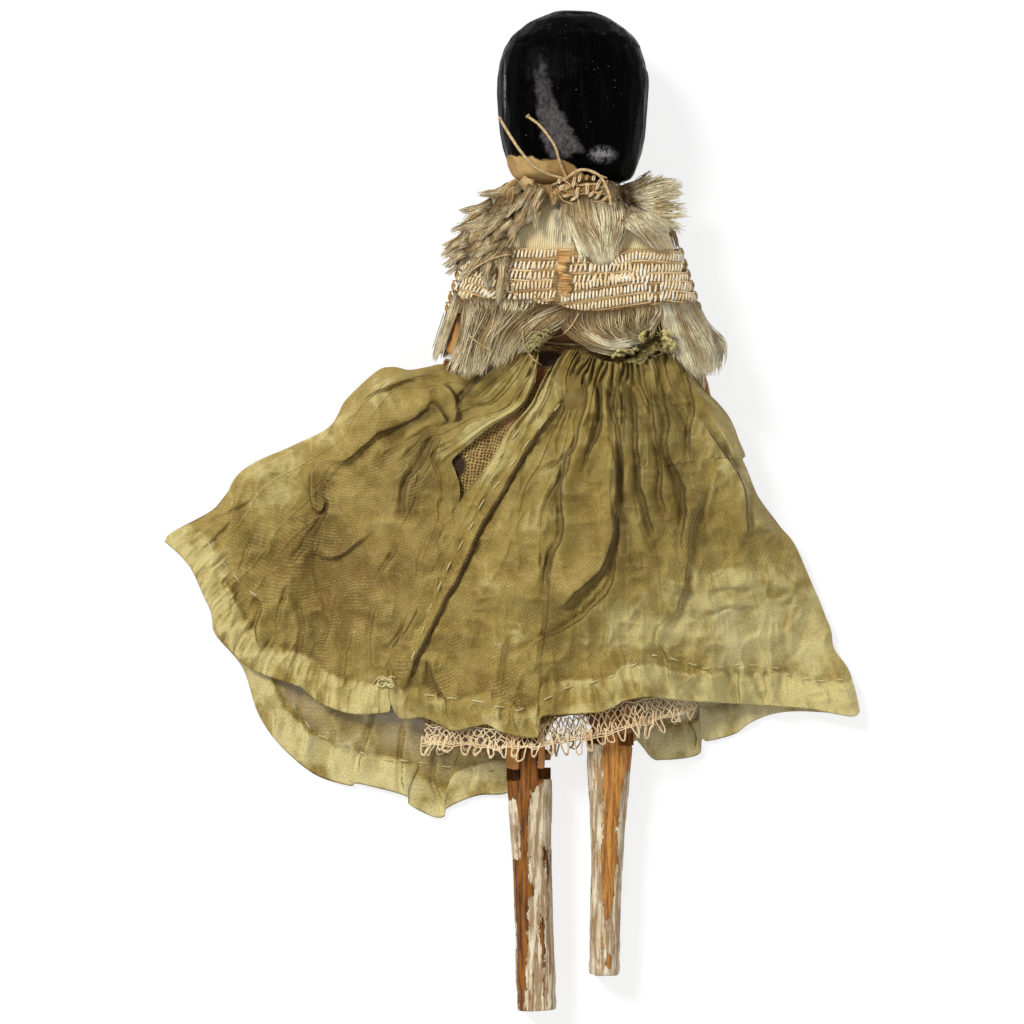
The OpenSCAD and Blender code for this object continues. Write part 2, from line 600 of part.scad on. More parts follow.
// Plan of a gathered layer: straight folds from the waist to the hem, bowed outward at the sides
function waist_point(t, grow) = [mid_x - hip_shift / 2 - (waist_w / 2 + waist_ease + grow) * cos(180 * t),
    waist_y];
function skirt_plan(table, t, v) = let(
    a = waist_point(t, petticoat_wall + layer_gap * 2),
    b = hem_point(table, t, skirt_reach_left, skirt_reach_right, skirt_drop),
    bow = t < 0.5 ? [0, look_up(left_bow_shares, v) * skirt_reach_left]
                  : [look_up(right_bow_shares, v) * skirt_reach_right, 0])
    a + (b - a) * v + bow * pow(abs(2 * t - 1), 3);
function petticoat_plan(t, v) = let(a = waist_point(t, 0),
    b = hem_point(petticoat_shares, t, petticoat_reach + hip_shift * 2,
        petticoat_reach - hip_shift * 2, petticoat_drop))
    a + (b - a) * v;

// Gathers run down from the waist as folds that fade towards the hem
folds = 9;
fold_h = 1.1;
function fold_z(t, v) = fold_h * pow(sin(180 * folds * t + 40 * v), 2) * ease(v * 5) * (1.1 - v * 0.6);

cloth_steps = 24;
skirt_levels = 9;
petticoat_steps = 18;
petticoat_levels = 6;

// One ring of a cloth tube at v: the back layer from left to right, then the front one back again
module skirt() {
    function side_in(t, wall) = t == 0 ? [wall, 0] : t == 1 ? [-wall, 0] : [0, 0];
    function back(t, v, lift, wall) =
        let(p = skirt_plan(skirt_back_shares, t, v), q = p + side_in(t, wall))
        [q[0], q[1], skirt_back_z(p) + lift + fold_z(t, v)];
    function front(t, v, lift, wall) =
        let(p = skirt_plan(skirt_front_shares, t, v), q = p + side_in(t, wall))
        [q[0], q[1], skirt_front_z(p) + lift];
    function ring(v, inner) = concat(
        [for (i = [cloth_steps:-1:0]) let(t = i / cloth_steps)
            back(t, v, inner ? 0 : skirt_wall, inner ? skirt_wall : 0)],
        [for (i = [0:cloth_steps]) let(t = i / cloth_steps)
            front(t, v, inner ? skirt_wall : 0, inner ? skirt_wall : 0)]);
    color("darkkhaki") ring_shell(
        [for (j = [0:skirt_levels]) ring(j / skirt_levels, false)],
        [for (j = [0:skirt_levels]) ring(j / skirt_levels, true)]);
}

function petticoat_ring(v, inner) = let(
    side_in = inner ? petticoat_wall : 0,
    pull = function(t) t == 0 ? [side_in, 0] : t == 1 ? [-side_in, 0] : [0, 0])
    concat(
        [for (i = [petticoat_steps:-1:0]) let(t = i / petticoat_steps, p = petticoat_plan(t, v),
            q = p + pull(t)) [q[0], q[1], petticoat_back_z(p) + (inner ? 0 : petticoat_wall)]],
        [for (i = [0:petticoat_steps]) let(t = i / petticoat_steps, p = petticoat_plan(t, v),
            q = p + pull(t)) [q[0], q[1], petticoat_front_z(p) + (inner ? petticoat_wall : 0)]]);

module petticoat() {
    color("tan") ring_shell(
        [for (j = [0:petticoat_levels]) petticoat_ring(j / petticoat_levels, false)],
        [for (j = [0:petticoat_levels]) petticoat_ring(j / petticoat_levels, true)]);
}

module petticoat_lace() {
    start = 1 + layer_gap / petticoat_drop;
    end = 1 + lace_w / petticoat_drop;
    levels = [start, (start + end) / 2, end];
    color("bisque") ring_shell([for (v = levels) petticoat_ring(v, false)],
        [for (v = levels) petticoat_ring(v, true)]);
}

// Drawn threads round the waist, each on top of the cloth that it gathers
function waist_loop(grow) = [for (i = [0:19]) let(a = 18 * i, c = cos(a), s = sin(a))
    [mid_x - hip_shift / 2 + (waist_w / 2 + waist_ease + grow) * sign(c) * pow(abs(c), 0.6),
     waist_y + thread_d * 2,
     body_z + (waist_depth / 2 + limb_clear + grow) * sign(s) * pow(abs(s), 0.6)]];
module petticoat_tie() color("bisque") thread(waist_loop(-thread_d * 0.2), thread_d, true);
module skirt_drawstring()
    color("darkkhaki") thread(waist_loop(petticoat_wall + layer_gap * 2 + thread_d * 1.2), thread_d, true);

// Thread tied at the nape: a free end on the hair, once round the neck, and the other free end
neck_tie_route = [[-1.6, 54.5, 17.4], [-0.5, 52.6, 18.8], [1.2, 50, 19.6], [3.2, 47.8, 19],
    [5.4, 46.8, 17.8], [7.6, 46.2, 17.2], [10, 45.2, 16.2], [12.6, 44.7, 14.2], [13.8, 44.7, 10.4],
    [12.6, 44.7, 6.6], [8.5, 44.7, 5.1], [4.4, 44.7, 6.6], [3.2, 44.7, 10.4], [4.2, 44.8, 14],
    [6, 45.6, 16.4], [7.6, 46.4, 17.9], [9.6, 47.5, 18.8], [12.1, 46.7, 18.8], [13.4, 44.3, 18.9],
    [13.7, 42.6, 19]];
function smooth_route(pts, steps) = let(n = len(pts)) concat([for (i = [0:n - 2], k = [0:steps - 1])
    let(a = pts[max(i - 1, 0)], b = pts[i], c = pts[i + 1], d = pts[min(i + 2, n - 1)], t = k / steps)
    0.5 * (2 * b + (c - a) * t + (2 * a - 5 * b + 4 * c - d) * t * t
        + (3 * b - a - 3 * c + d) * t * t * t)], [pts[n - 1]]);
module neck_tie() color("wheat") thread(smooth_route(neck_tie_route, 2), thread_d, false);

head_and_torso();
upper_arm(LEFT);  // upper_arm_left
upper_arm(RIGHT);  // upper_arm_right
forearm(LEFT);  // forearm_left
forearm(RIGHT);  // forearm_right
thigh(LEFT);  // thigh_left
thigh(RIGHT);  // thigh_right
shin(LEFT);  // shin_left
shin(RIGHT);  // shin_right
shoulder_peg(LEFT);  // shoulder_peg_left
shoulder_peg(RIGHT);  // shoulder_peg_right
elbow_peg(LEFT);  // elbow_peg_left
elbow_peg(RIGHT);  // elbow_peg_right
hip_peg();
knee_peg(LEFT);  // knee_peg_left
knee_peg(RIGHT);  // knee_peg_right
silk_cape();
braid_band();
braid_tab();
floss_collar();
floss_fringe();
petticoat();
petticoat_tie();
petticoat_lace();
skirt();
skirt_drawstring();
neck_tie();
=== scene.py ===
import json

import bpy
import numpy as np
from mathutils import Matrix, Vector
from mathutils.bvhtree import BVHTree
from mathutils.kdtree import KDTree

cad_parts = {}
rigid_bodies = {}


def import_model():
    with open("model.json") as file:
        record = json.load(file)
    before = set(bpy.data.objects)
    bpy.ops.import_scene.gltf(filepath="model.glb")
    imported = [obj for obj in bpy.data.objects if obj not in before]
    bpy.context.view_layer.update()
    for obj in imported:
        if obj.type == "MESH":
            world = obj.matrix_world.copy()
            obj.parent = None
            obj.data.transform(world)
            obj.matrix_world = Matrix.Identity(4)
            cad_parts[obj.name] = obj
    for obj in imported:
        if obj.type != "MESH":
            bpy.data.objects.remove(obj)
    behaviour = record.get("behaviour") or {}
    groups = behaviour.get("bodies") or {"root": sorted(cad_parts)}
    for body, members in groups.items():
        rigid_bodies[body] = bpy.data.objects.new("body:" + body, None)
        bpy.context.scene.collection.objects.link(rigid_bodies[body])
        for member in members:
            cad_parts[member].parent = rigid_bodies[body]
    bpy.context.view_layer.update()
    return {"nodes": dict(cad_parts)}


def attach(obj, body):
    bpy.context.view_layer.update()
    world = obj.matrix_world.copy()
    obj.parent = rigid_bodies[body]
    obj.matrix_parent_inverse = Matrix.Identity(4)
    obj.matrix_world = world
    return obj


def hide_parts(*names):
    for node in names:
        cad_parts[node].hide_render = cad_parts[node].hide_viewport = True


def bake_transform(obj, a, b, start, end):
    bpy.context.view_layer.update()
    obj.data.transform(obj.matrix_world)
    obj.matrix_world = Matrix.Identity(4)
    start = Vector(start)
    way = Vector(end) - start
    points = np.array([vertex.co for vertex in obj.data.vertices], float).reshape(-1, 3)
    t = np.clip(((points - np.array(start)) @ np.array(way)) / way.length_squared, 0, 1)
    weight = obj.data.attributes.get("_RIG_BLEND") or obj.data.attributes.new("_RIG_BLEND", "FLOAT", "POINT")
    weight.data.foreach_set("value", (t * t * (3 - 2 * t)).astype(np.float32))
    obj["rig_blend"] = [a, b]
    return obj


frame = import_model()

scene = bpy.context.scene
MM = 0.001
PX = 0.14                      # millimetres to a pixel of the photograph
PX_MIDDLE = 511.5
SIDES = ("left", "right")

# Camera, light and floor
FLOOR_Z = -0.02
FRAME_MM = 1024 * PX
LENS, SENSOR = 300, 36
AIM_Z = 8
camera = bpy.data.objects.new("camera", bpy.data.cameras.new("camera"))
scene.collection.objects.link(camera)
camera.data.lens, camera.data.sensor_width = LENS, SENSOR
camera.data.clip_end = 10
camera.location = (0, 0, (AIM_Z + FRAME_MM * LENS / SENSOR) * MM)
scene.camera = camera
scene.view_settings.view_transform = "Standard"


def sun(name, strength, angle, direction):
    lamp = bpy.data.objects.new(name, bpy.data.lights.new(name, "SUN"))
    lamp.data.energy, lamp.data.angle = strength, angle
    lamp.rotation_mode = "QUATERNION"
    lamp.rotation_quaternion = Vector(direction).to_track_quat("-Z", "Y")
    scene.collection.objects.link(lamp)


sun("key", 2.4, 0.25, (0.62, -0.62, -1))
sun("fill", 0.25, 1.2, (-0.8, 0.5, -0.9))


# Shader nodes
class Shader:
    """A node tree that is written from the coordinates to the surface."""

    def __init__(self, owner):
        owner.use_nodes = True
        self.tree = owner.node_tree
        self.tree.nodes.clear()

    def add(self, kind, values=(), **settings):
        made = self.tree.nodes.new(kind)
        for key, value in settings.items():
            setattr(made, key, value)
        for key, value in dict(values).items():
            self.put(made.inputs[key], value)
        return made

    def put(self, socket, value):
        if isinstance(value, bpy.types.NodeSocket):
            self.tree.links.new(value, socket)
        elif isinstance(value, bpy.types.Node):
            self.tree.links.new(value.outputs[0], socket)
        else:
            socket.default_value = value

    def math(self, operation, a, b=0.5, clamp=False):
        return self.add("ShaderNodeMath", {0: a, 1: b}, operation=operation, use_clamp=clamp).outputs[0]

    def plus(self, a, b):
        return self.math("ADD", a, b)

    def minus(self, a, b, clamp=False):
        return self.math("SUBTRACT", a, b, clamp)

    def times(self, a, b):
        return self.math("MULTIPLY", a, b)

    def most(self, a, b):
        return self.math("MAXIMUM", a, b)

    def kept(self, name):
        """A value that the mesh keeps at each of its points."""
        return self.add("ShaderNodeAttribute", attribute_name=name).outputs["Fac"]

    def cloth(self):
        """Lengths along the cloth, in metres."""
        return self.add("ShaderNodeUVMap", uv_map="cloth").outputs[0]

    def axes(self, place):
        return self.add("ShaderNodeSeparateXYZ", {"Vector": place}).outputs

    def mix(self, factor, a, b):
        return self.add("ShaderNodeMixRGB", {0: factor, 1: a, 2: b}).outputs[0]

    def ramp(self, factor, low, high, to_low=0.0, to_high=1.0):
        return self.add("ShaderNodeMapRange", {"Value": factor, "From Min": low, "From Max": high,
            "To Min": to_low, "To Max": to_high}, interpolation_type="SMOOTHSTEP").outputs[0]

    def noise(self, vector, scale, detail=4, rough=0.55, stretch=(1, 1, 1)):
        moved = self.add("ShaderNodeMapping", {"Vector": vector, "Scale": stretch})
        return self.add("ShaderNodeTexNoise", {"Vector": moved, "Scale": scale, "Detail": detail,
            "Roughness": rough}).outputs[0]

    def oval(self, axes, x, y, across, tall):
        """Distance from a place on the doll in millimetres, as a share: 1 on an oval round it."""
        dx = self.math("DIVIDE", self.minus(axes[0], x * MM), across * MM)
        dy = self.math("DIVIDE", self.minus(axes[1], y * MM), tall * MM)
        return self.math("SQRT", self.plus(self.times(dx, dx), self.times(dy, dy)))

    def bands(self, vector, pitch_mm, axis, distort=0.0):
        """A sine wave from 0 to 1 across one axis of coordinates in metres."""
        return self.add("ShaderNodeTexWave", {"Vector": vector, "Scale": np.pi / 10 / (pitch_mm * MM),
            "Distortion": distort, "Detail": 1}, bands_direction=axis).outputs[1]


def srgb(r, g, b):
    """A colour as the photograph shows it, 0 to 255, in the renderer's numbers."""
    shares = [c / 255 for c in (r, g, b)]
    return tuple(((c + 0.055) / 1.055) ** 2.4 if c > 10 / 255 else c / 12.92 for c in shares) + (1,)


def object_place(s):
    return s.add("ShaderNodeTexCoord").outputs["Object"]


def finish_material(s, colour, bump=None, bump_mm=0.1, **surface):
    values = {"Base Color": colour}
    values.update({key.replace("_", " "): value for key, value in surface.items()})
    if bump is not None:
        values["Normal"] = s.add("ShaderNodeBump", {"Height": bump, "Distance": bump_mm * MM}).outputs[0]
    shader = s.add("ShaderNodeBsdfPrincipled", values)
    s.add("ShaderNodeOutputMaterial", {"Surface": shader})


def material(name):
    made = bpy.data.materials.new(name)
    return made, Shader(made)


def seen_rays(s):
    """1 for what the camera sees, by itself, in a gloss or through a cloth."""
    path = s.add("ShaderNodeLightPath").outputs
    return s.most(path["Is Camera Ray"], s.most(path["Is Glossy Ray"], path["Is Transmission Ray"]))


def make_world():
    world = bpy.data.worlds.new("studio")
    scene.world = world
    s = Shader(world)
    seen = seen_rays(s)
    strength = s.ramp(seen, 0, 1, 0.42, 1.0)
    s.add("ShaderNodeOutputWorld", {"Surface": s.add("ShaderNodeBackground",
        {"Color": (1, 1, 1, 1), "Strength": strength})})


def make_floor():
    mesh = bpy.data.meshes.new("floor")
    reach = 1.5
    mesh.from_pydata([(-reach, -reach, FLOOR_Z * MM), (reach, -reach, FLOOR_Z * MM),
                      (reach, reach, FLOOR_Z * MM), (-reach, reach, FLOOR_Z * MM)], [], [(0, 1, 2, 3)])
    floor = bpy.data.objects.new("floor", mesh)
    scene.collection.objects.link(floor)
    made, s = material("floor")
    seen = seen_rays(s)
    glow = s.add("ShaderNodeEmission", {"Color": (1, 1, 1, 1), "Strength": s.times(seen, 0.8)})
    paper = s.add("ShaderNodeBsdfDiffuse", {"Color": s.mix(seen, (0.8, 0.8, 0.8, 1),
        (0.24, 0.24, 0.24, 1))})
    s.add("ShaderNodeOutputMaterial", {"Surface": s.add("ShaderNodeAddShader", {0: glow, 1: paper})})
    mesh.materials.append(made)


make_world()
make_floor()


# Meshes, in millimetres
def link(name, mesh, surface, body=None, replaced=()):
    made = bpy.data.objects.new(name, mesh)
    scene.collection.objects.link(made)
    mesh.materials.append(surface)
    if body:
        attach(made, body)
    if replaced:
        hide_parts(*replaced)
    return made


def mesh_of(name, points, faces, smooth=True):
    mesh = bpy.data.meshes.new(name)
    mesh.from_pydata((np.asarray(points, float) * MM).tolist(), [], faces)
    if smooth:
        mesh.shade_smooth()
    return mesh


def unit(v):
    return v / np.maximum(np.linalg.norm(v, axis=-1, keepdims=True), 1e-9)


def tubes(name, paths, radius, sides=5, closed=False, tones=None, taper=True):
    """One mesh of many round threads. paths is (threads, points, 3) in millimetres, radius a number
    or one for each point. Each vertex keeps its thread's tone and how far along the thread it is."""
    paths = np.asarray(paths, float)
    count, length = paths.shape[:2]
    if closed:
        tangent = unit(np.roll(paths, -1, 1) - np.roll(paths, 1, 1))
    else:
        tangent = np.empty_like(paths)
        tangent[:, 1:-1] = paths[:, 2:] - paths[:, :-2]
        tangent[:, 0], tangent[:, -1] = paths[:, 1] - paths[:, 0], paths[:, -1] - paths[:, -2]
        tangent = unit(tangent)
    up = np.tile(np.array([0.13, 0.21, 1.0]), (count, 1))
    frames = np.empty_like(paths)
    for k in range(length):
        up = unit(up - (up * tangent[:, k]).sum(-1, keepdims=True) * tangent[:, k])
        frames[:, k] = up
    other = np.cross(tangent, frames)
    size = np.broadcast_to(np.asarray(radius, float), (count, length)).copy()
    if taper and not closed:
        size[:, 0] *= 0.5
        size[:, -1] *= 0.25
    angle = np.arange(sides) * 2 * np.pi / sides
    ring = (frames[:, :, None] * np.cos(angle)[:, None] + other[:, :, None] * np.sin(angle)[:, None])
    points = (paths[:, :, None] + ring * size[:, :, None, None]).reshape(-1, 3)
    spans = length if closed else length - 1
    base = (np.arange(count)[:, None, None] * length * sides)
    j = np.arange(spans)[None, :, None]
    k = np.arange(sides)[None, None, :]
    a, b = j * sides + k, j * sides + (k + 1) % sides
    c, d = (j + 1) % length * sides + k, (j + 1) % length * sides + (k + 1) % sides
    quads = np.stack([base + a, base + b, base + d, base + c], -1).reshape(-1, 4)
    faces = quads.tolist()
    if not closed:
        for i in range(count):
            first = i * length * sides
            last = first + (length - 1) * sides
            faces.append(list(range(first + sides - 1, first - 1, -1)))
            faces.append(list(range(last, last + sides)))
    mesh = mesh_of(name, points, faces)
    tones = np.zeros(count) if tones is None else np.asarray(tones, float)
    keep(mesh, "tone", np.repeat(tones, length * sides))
    keep(mesh, "along", np.tile(np.repeat(np.linspace(0, 1, length), sides), count))
    return mesh


def thread_piece(name, paths, radius, surface, slot, replaced=(), body=None, sides=5, **settings):
    """A piece made of many threads. The settings are those of tubes."""
    mesh = tubes(name, np.array(paths), radius, sides, **settings)
    return link(name, mesh, surface, body, replaced)


def keep(mesh, name, values):
    """Keeps a value at each point of a mesh, for its material."""
    made = mesh.attributes.new(name, "FLOAT", "POINT")
    made.data.foreach_set("value", np.ravel(values).astype(np.float32))


def places(mesh):
    """The points of a mesh, in millimetres."""
    place = np.empty(len(mesh.vertices) * 3)
    mesh.vertices.foreach_get("co", place)
    return place.reshape(-1, 3) / MM


def smooth_path(points, count):
    """Catmull-Rom curve through points, resampled to count points at even steps."""
    p = np.asarray(points, float)
    if len(p) == 2:
        return p[0] + (p[1] - p[0]) * np.linspace(0, 1, count)[:, None]
    fine = []
    for i in range(len(p) - 1):
        a, b, c, d = p[max(i - 1, 0)], p[i], p[i + 1], p[min(i + 2, len(p) - 1)]
        t = np.linspace(0, 1, 12, endpoint=False)[:, None]
        fine.append(0.5 * (2 * b + (c - a) * t + (2 * a - 5 * b + 4 * c - d) * t ** 2
            + (3 * b - a - 3 * c + d) * t ** 3))
    fine = np.vstack(fine + [p[-1:]])
    return resample(fine, count)


def resample(p, count):
    step = np.linalg.norm(np.diff(p, axis=0), axis=1)
    s = np.concatenate([[0], np.cumsum(step)])
    t = np.linspace(0, s[-1], count)
    return np.stack([np.interp(t, s, p[:, k]) for k in range(p.shape[1])], -1)


def from_photo(points):
    """Pixels of the photograph as places across and along the doll, in millimetres."""
    p = np.asarray(points, float)
    return np.stack([(p[..., 0] - PX_MIDDLE) * PX, (PX_MIDDLE - p[..., 1]) * PX], -1)


class Noise:
    """Smooth value noise over a plane, the same on each run."""

    def __init__(self, seed):
        self.table = np.random.default_rng(seed).random((64, 64)) * 2 - 1

    def __call__(self, x, y):
        x, y = np.asarray(x, float), np.asarray(y, float)
        i, j = np.floor(x).astype(int), np.floor(y).astype(int)
        f, g = x - i, y - j
        f, g = f * f * (3 - 2 * f), g * g * (3 - 2 * g)
        i0, i1, j0, j1 = i % 64, (i + 1) % 64, j % 64, (j + 1) % 64
        t = self.table
        return (t[i0, j0] * (1 - f) * (1 - g) + t[i1, j0] * f * (1 - g)
            + t[i0, j1] * (1 - f) * g + t[i1, j1] * f * g)


def ease(t):
    k = np.clip(t, 0, 1)
    return k * k * (3 - 2 * k)


# Places that repeat the solids
MID_X, BODY_Z = 8.5, 10.4
HIP_Y, SHOULDER_Y, WAIST_Y = -1.343, 39.057, 23.257
HIPS = {"left": (1.3, HIP_Y, 9.95), "right": (14.5, HIP_Y, 9.95)}
KNEES = {"left": (2.346, -34.178, 4.503), "right": (13.806, -29.207, 4.502)}
WAIST_HALF = 7.3


def ridge(x, y, a, b, za, zb, half, fall):
    a, b = np.array(a), np.array(b)
    d = b - a
    t = np.clip(((x - a[0]) * d[0] + (y - a[1]) * d[1]) / (d @ d), 0, 1)
    away = np.hypot(x - a[0] - d[0] * t, y - a[1] - d[1] * t)
    return za + (zb - za) * t - np.maximum(0, away - half) * fall


BODY_RIDGES = [((1.3, -1.34), (2.35, -52.1), 13.75, 8.5, 3.96, 0.75),
    ((14.5, -1.34), (13.8, -47.1), 13.75, 8.5, 3.96, 0.75),
    ((8.5, 23.26), (7.9, 8.5), 14.9, 16.8, 6, 0.5), ((7.9, 8.5), (7.9, -4.64), 16.8, 15.69, 7.2, 0.5)]
ARM_RIDGES = [((-1.4, 39.06), (-12.52, 5.8), 12.95, 3.98, 3.22, 0.75),
    ((18.4, 39.06), (29.52, 5.8), 12.95, 3.98, 3.22, 0.75)]


def over(ridges, x, y):
    return np.max([ridge(x, y, *r) for r in ridges], axis=0)


def skirt_front_z(x, y):
    away = np.hypot(np.maximum(0, np.abs(x - MID_X) - WAIST_HALF), WAIST_Y - y)
    return np.maximum(over(ARM_RIDGES, x, y), 4.5 - 4.22 * ease(away / 23 * 1.3))


def petticoat_front_z(x, y):
    z = skirt_front_z(x, y)
    return z + 0.55 + 0.4 * ease((z - 0.28) / 0.4)


def petticoat_back_z(x, y):
    return np.maximum(over(BODY_RIDGES, x, y), petticoat_front_z(x, y) + 0.75)


def skirt_back_z(x, y):
    return np.maximum(petticoat_back_z(x, y) + 1.1, skirt_front_z(x, y) + 1.25)


WRAP_POWER = 3.5
CAPE_TOP, CAPE_LOW = 43.67, 27.67
BRAID_OVER, NECK_GIMP_OVER = 1.15, 1.9     # millimetres over the silk


def wrap_row(y):
    """Half width, half depth and middle height of the cape's ring at a height along the doll."""
    drop = np.maximum(0, SHOULDER_Y - y)
    narrow = ease((y - SHOULDER_Y) / (CAPE_TOP - SHOULDER_Y))
    half = (12.2 + drop * np.tan(np.radians(18)) + 0.84) * (1 - narrow) + 5.4 * narrow
    deep = (6.6 + drop * 0.03) * (1 - narrow) + 5.3 * narrow
    return half, deep, BODY_Z - drop * 0.1


def on_wrap(x, y, grow, up=1):
    """Height of the clothes on the upper body, grow millimetres over the silk, on the back or front."""
    half, deep, middle = wrap_row(y)
    share = np.clip(np.abs(x - MID_X) / (half + grow), 0, 1)
    return middle + up * (deep + grow) * (1 - share ** WRAP_POWER) ** (1 / WRAP_POWER)


# Neck tie, a free thread
def make_thread_material(name, low, high):
    made, s = material(name)
    place = object_place(s)
    fleck = s.noise(place, 2500)
    twist = s.kept("along")
    ply = s.math("SINE", s.times(twist, 400), 0)
    finish_material(s, s.mix(s.ramp(fleck, 0.3, 0.7), low, high), bump=s.plus(fleck,
        s.times(ply, 0.2)), bump_mm=0.05, Roughness=0.75, Sheen_Weight=0.2)
    return made


CREAM_THREAD = make_thread_material("cream_thread", srgb(176, 142, 88), srgb(222, 194, 142))
GREEN_THREAD = make_thread_material("green_thread", srgb(158, 142, 78), srgb(206, 192, 124))
GREEN_SILK = make_thread_material("green_silk_roll", srgb(172, 154, 84), srgb(226, 212, 142))
BROWN_THREAD = make_thread_material("brown_thread", srgb(92, 74, 30), srgb(132, 112, 56))
PALE_STITCH = make_thread_material("pale_stitch", srgb(214, 198, 120), srgb(248, 238, 176))

NECK_TIE = [(-1.6, 54.5, 17.4), (-0.5, 52.6, 18.8), (1.2, 50, 19.6), (3.2, 47.8, 19),
    (5.4, 46.8, 17.8), (7.6, 46.2, 17.2), (10, 45.2, 16.2), (12.6, 44.7, 14.2), (13.8, 44.7, 10.4),
    (12.6, 44.7, 6.6), (8.5, 44.7, 5.1), (4.4, 44.7, 6.6), (3.2, 44.7, 10.4), (4.2, 44.8, 14),
    (6, 45.6, 16.4), (7.6, 46.4, 17.9), (9.6, 47.5, 18.8), (12.1, 46.7, 18.8), (13.4, 44.3, 18.9),
    (13.7, 42.6, 19)]
TIE_D = 0.4


def curve_thread(name, route, diameter, surface):
    """A curve of one open spline along a route in millimetres."""
    data = bpy.data.curves.new(name, "CURVE")
    data.dimensions = "3D"
    data.bevel_depth, data.bevel_resolution, data.use_fill_caps = diameter / 2 * MM, 2, True
    path = smooth_path(route, len(route) * 5)
    spline = data.splines.new("POLY")
    spline.points.add(len(path) - 1)
    for point, place in zip(spline.points, path * MM):
        point.co = (*place, 1)
    data.materials.append(surface)
    made = bpy.data.objects.new(name, data)
    scene.collection.objects.link(made)
    return made, np.linalg.norm(np.diff(path, axis=0), axis=1).sum()


tie, tie_length = curve_thread("neck_tie_thread", NECK_TIE, TIE_D, CREAM_THREAD)
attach(tie, "torso")
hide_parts("neck_tie")


# Wood
def wood_grain(s, place):
    """Darker lines along the limb, finer flecks and a slow change of colour."""
    lines = s.noise(place, 700, 5, 0.6, (3, 0.22, 3))
    pores = s.noise(place, 2600, 3, 0.6, (2, 0.1, 2))
    slow = s.noise(place, 110, 3)
    return lines, pores, slow


def make_wood(name, dark, mid, light):
    made, s = material(name)
    place = object_place(s)
    lines, pores, slow = wood_grain(s, place)
    colour = s.mix(s.ramp(lines, 0.35, 0.65), dark, mid)
    colour = s.mix(s.ramp(slow, 0.4, 0.7), colour, light)
    colour = s.mix(s.ramp(pores, 0.56, 0.7, 0, 0.6), colour, dark)
    finish_material(s, colour, bump=s.plus(lines, s.times(pores, 0.5)), bump_mm=0.12,
        Roughness=s.ramp(lines, 0.3, 0.7, 0.6, 0.42))
    return made


def inside(outline, x, y):
    """Millimetres from an outline given in pixels of the photograph, positive inside it."""
    line = from_photo(outline)
    best, wind = np.full(x.shape, 1e9), np.zeros(x.shape, bool)
    for a, b in zip(line, np.roll(line, -1, 0)):
        d = b - a
        t = np.clip(((x - a[0]) * d[0] + (y - a[1]) * d[1]) / (d @ d), 0, 1)
        best = np.minimum(best, np.hypot(x - a[0] - d[0] * t, y - a[1] - d[1] * t))
        with np.errstate(divide="ignore", invalid="ignore"):
            cross = (a[1] > y) != (b[1] > y)
            wind ^= cross & (x < a[0] + d[0] * (y - a[1]) / d[1])
    return np.where(wind, best, -best)


def mark(piece, name, outlines):
    """Keeps how far inside the nearest of some outlines each point lies, for the piece's material."""
    x, y = places(piece.data)[:, :2].T
    keep(piece.data, name, np.max([inside(o, x, y) for o in outlines], axis=0))


def make_worn_paint(name):
    """Cream-white paint, rubbed off the edges in lengthwise patches, over the same wood."""
    made, s = material(name)
    place = object_place(s)
    lines, pores, slow = wood_grain(s, place)
    axes = s.axes(place)
    dark = s.mix(s.ramp(lines, 0.38, 0.62), srgb(66, 32, 0), srgb(144, 86, 14))
    light = s.mix(s.ramp(lines, 0.35, 0.62), srgb(136, 82, 26), srgb(200, 140, 66))
    wood = s.mix(s.ramp(axes[0], 7 * MM, 9 * MM), dark, light)
    wood = s.mix(s.ramp(pores, 0.56, 0.7, 0, 0.7), wood, srgb(70, 34, 12))
    patches = s.noise(place, 300, 5, 0.6, (1.9, 0.25, 1.9))
    chips = s.noise(place, 1500, 4, 0.6, (1.4, 0.5, 1.4))
    rough = s.times(s.minus(s.plus(patches, s.times(chips, 0.6)), 0.8), 2.4)
    worn = s.plus(s.kept("bare"), rough)
    bare = s.most(s.ramp(worn, -0.05, 0.05), s.times(s.ramp(lines, 0.6, 0.66), 0.75))
    stain = s.noise(place, 420, 4, 0.6, (1, 0.4, 1))
    grime = s.noise(place, 900, 6, 0.68, (2.2, 0.16, 2.2))
    paint = s.mix(s.ramp(stain, 0.35, 0.65), srgb(232, 218, 188), srgb(192, 172, 138))
    paint = s.mix(s.ramp(grime, 0.47, 0.55, 0, 0.85), paint, srgb(148, 116, 78))
    paint = s.mix(s.ramp(chips, 0.64, 0.72, 0, 0.8), paint, srgb(120, 84, 52))
    finish_material(s, s.mix(bare, paint, wood), bump=s.plus(s.times(lines, 0.35), s.times(bare, -0.8)),
        bump_mm=0.14, Roughness=s.ramp(bare, 0, 1, 0.5, 0.6), Specular_IOR_Level=0.3)
    return made


FACE_Y, MOUTH_Y, EYE_Y, EYE_APART = 56.2, 52.2, 59.2, 3.5


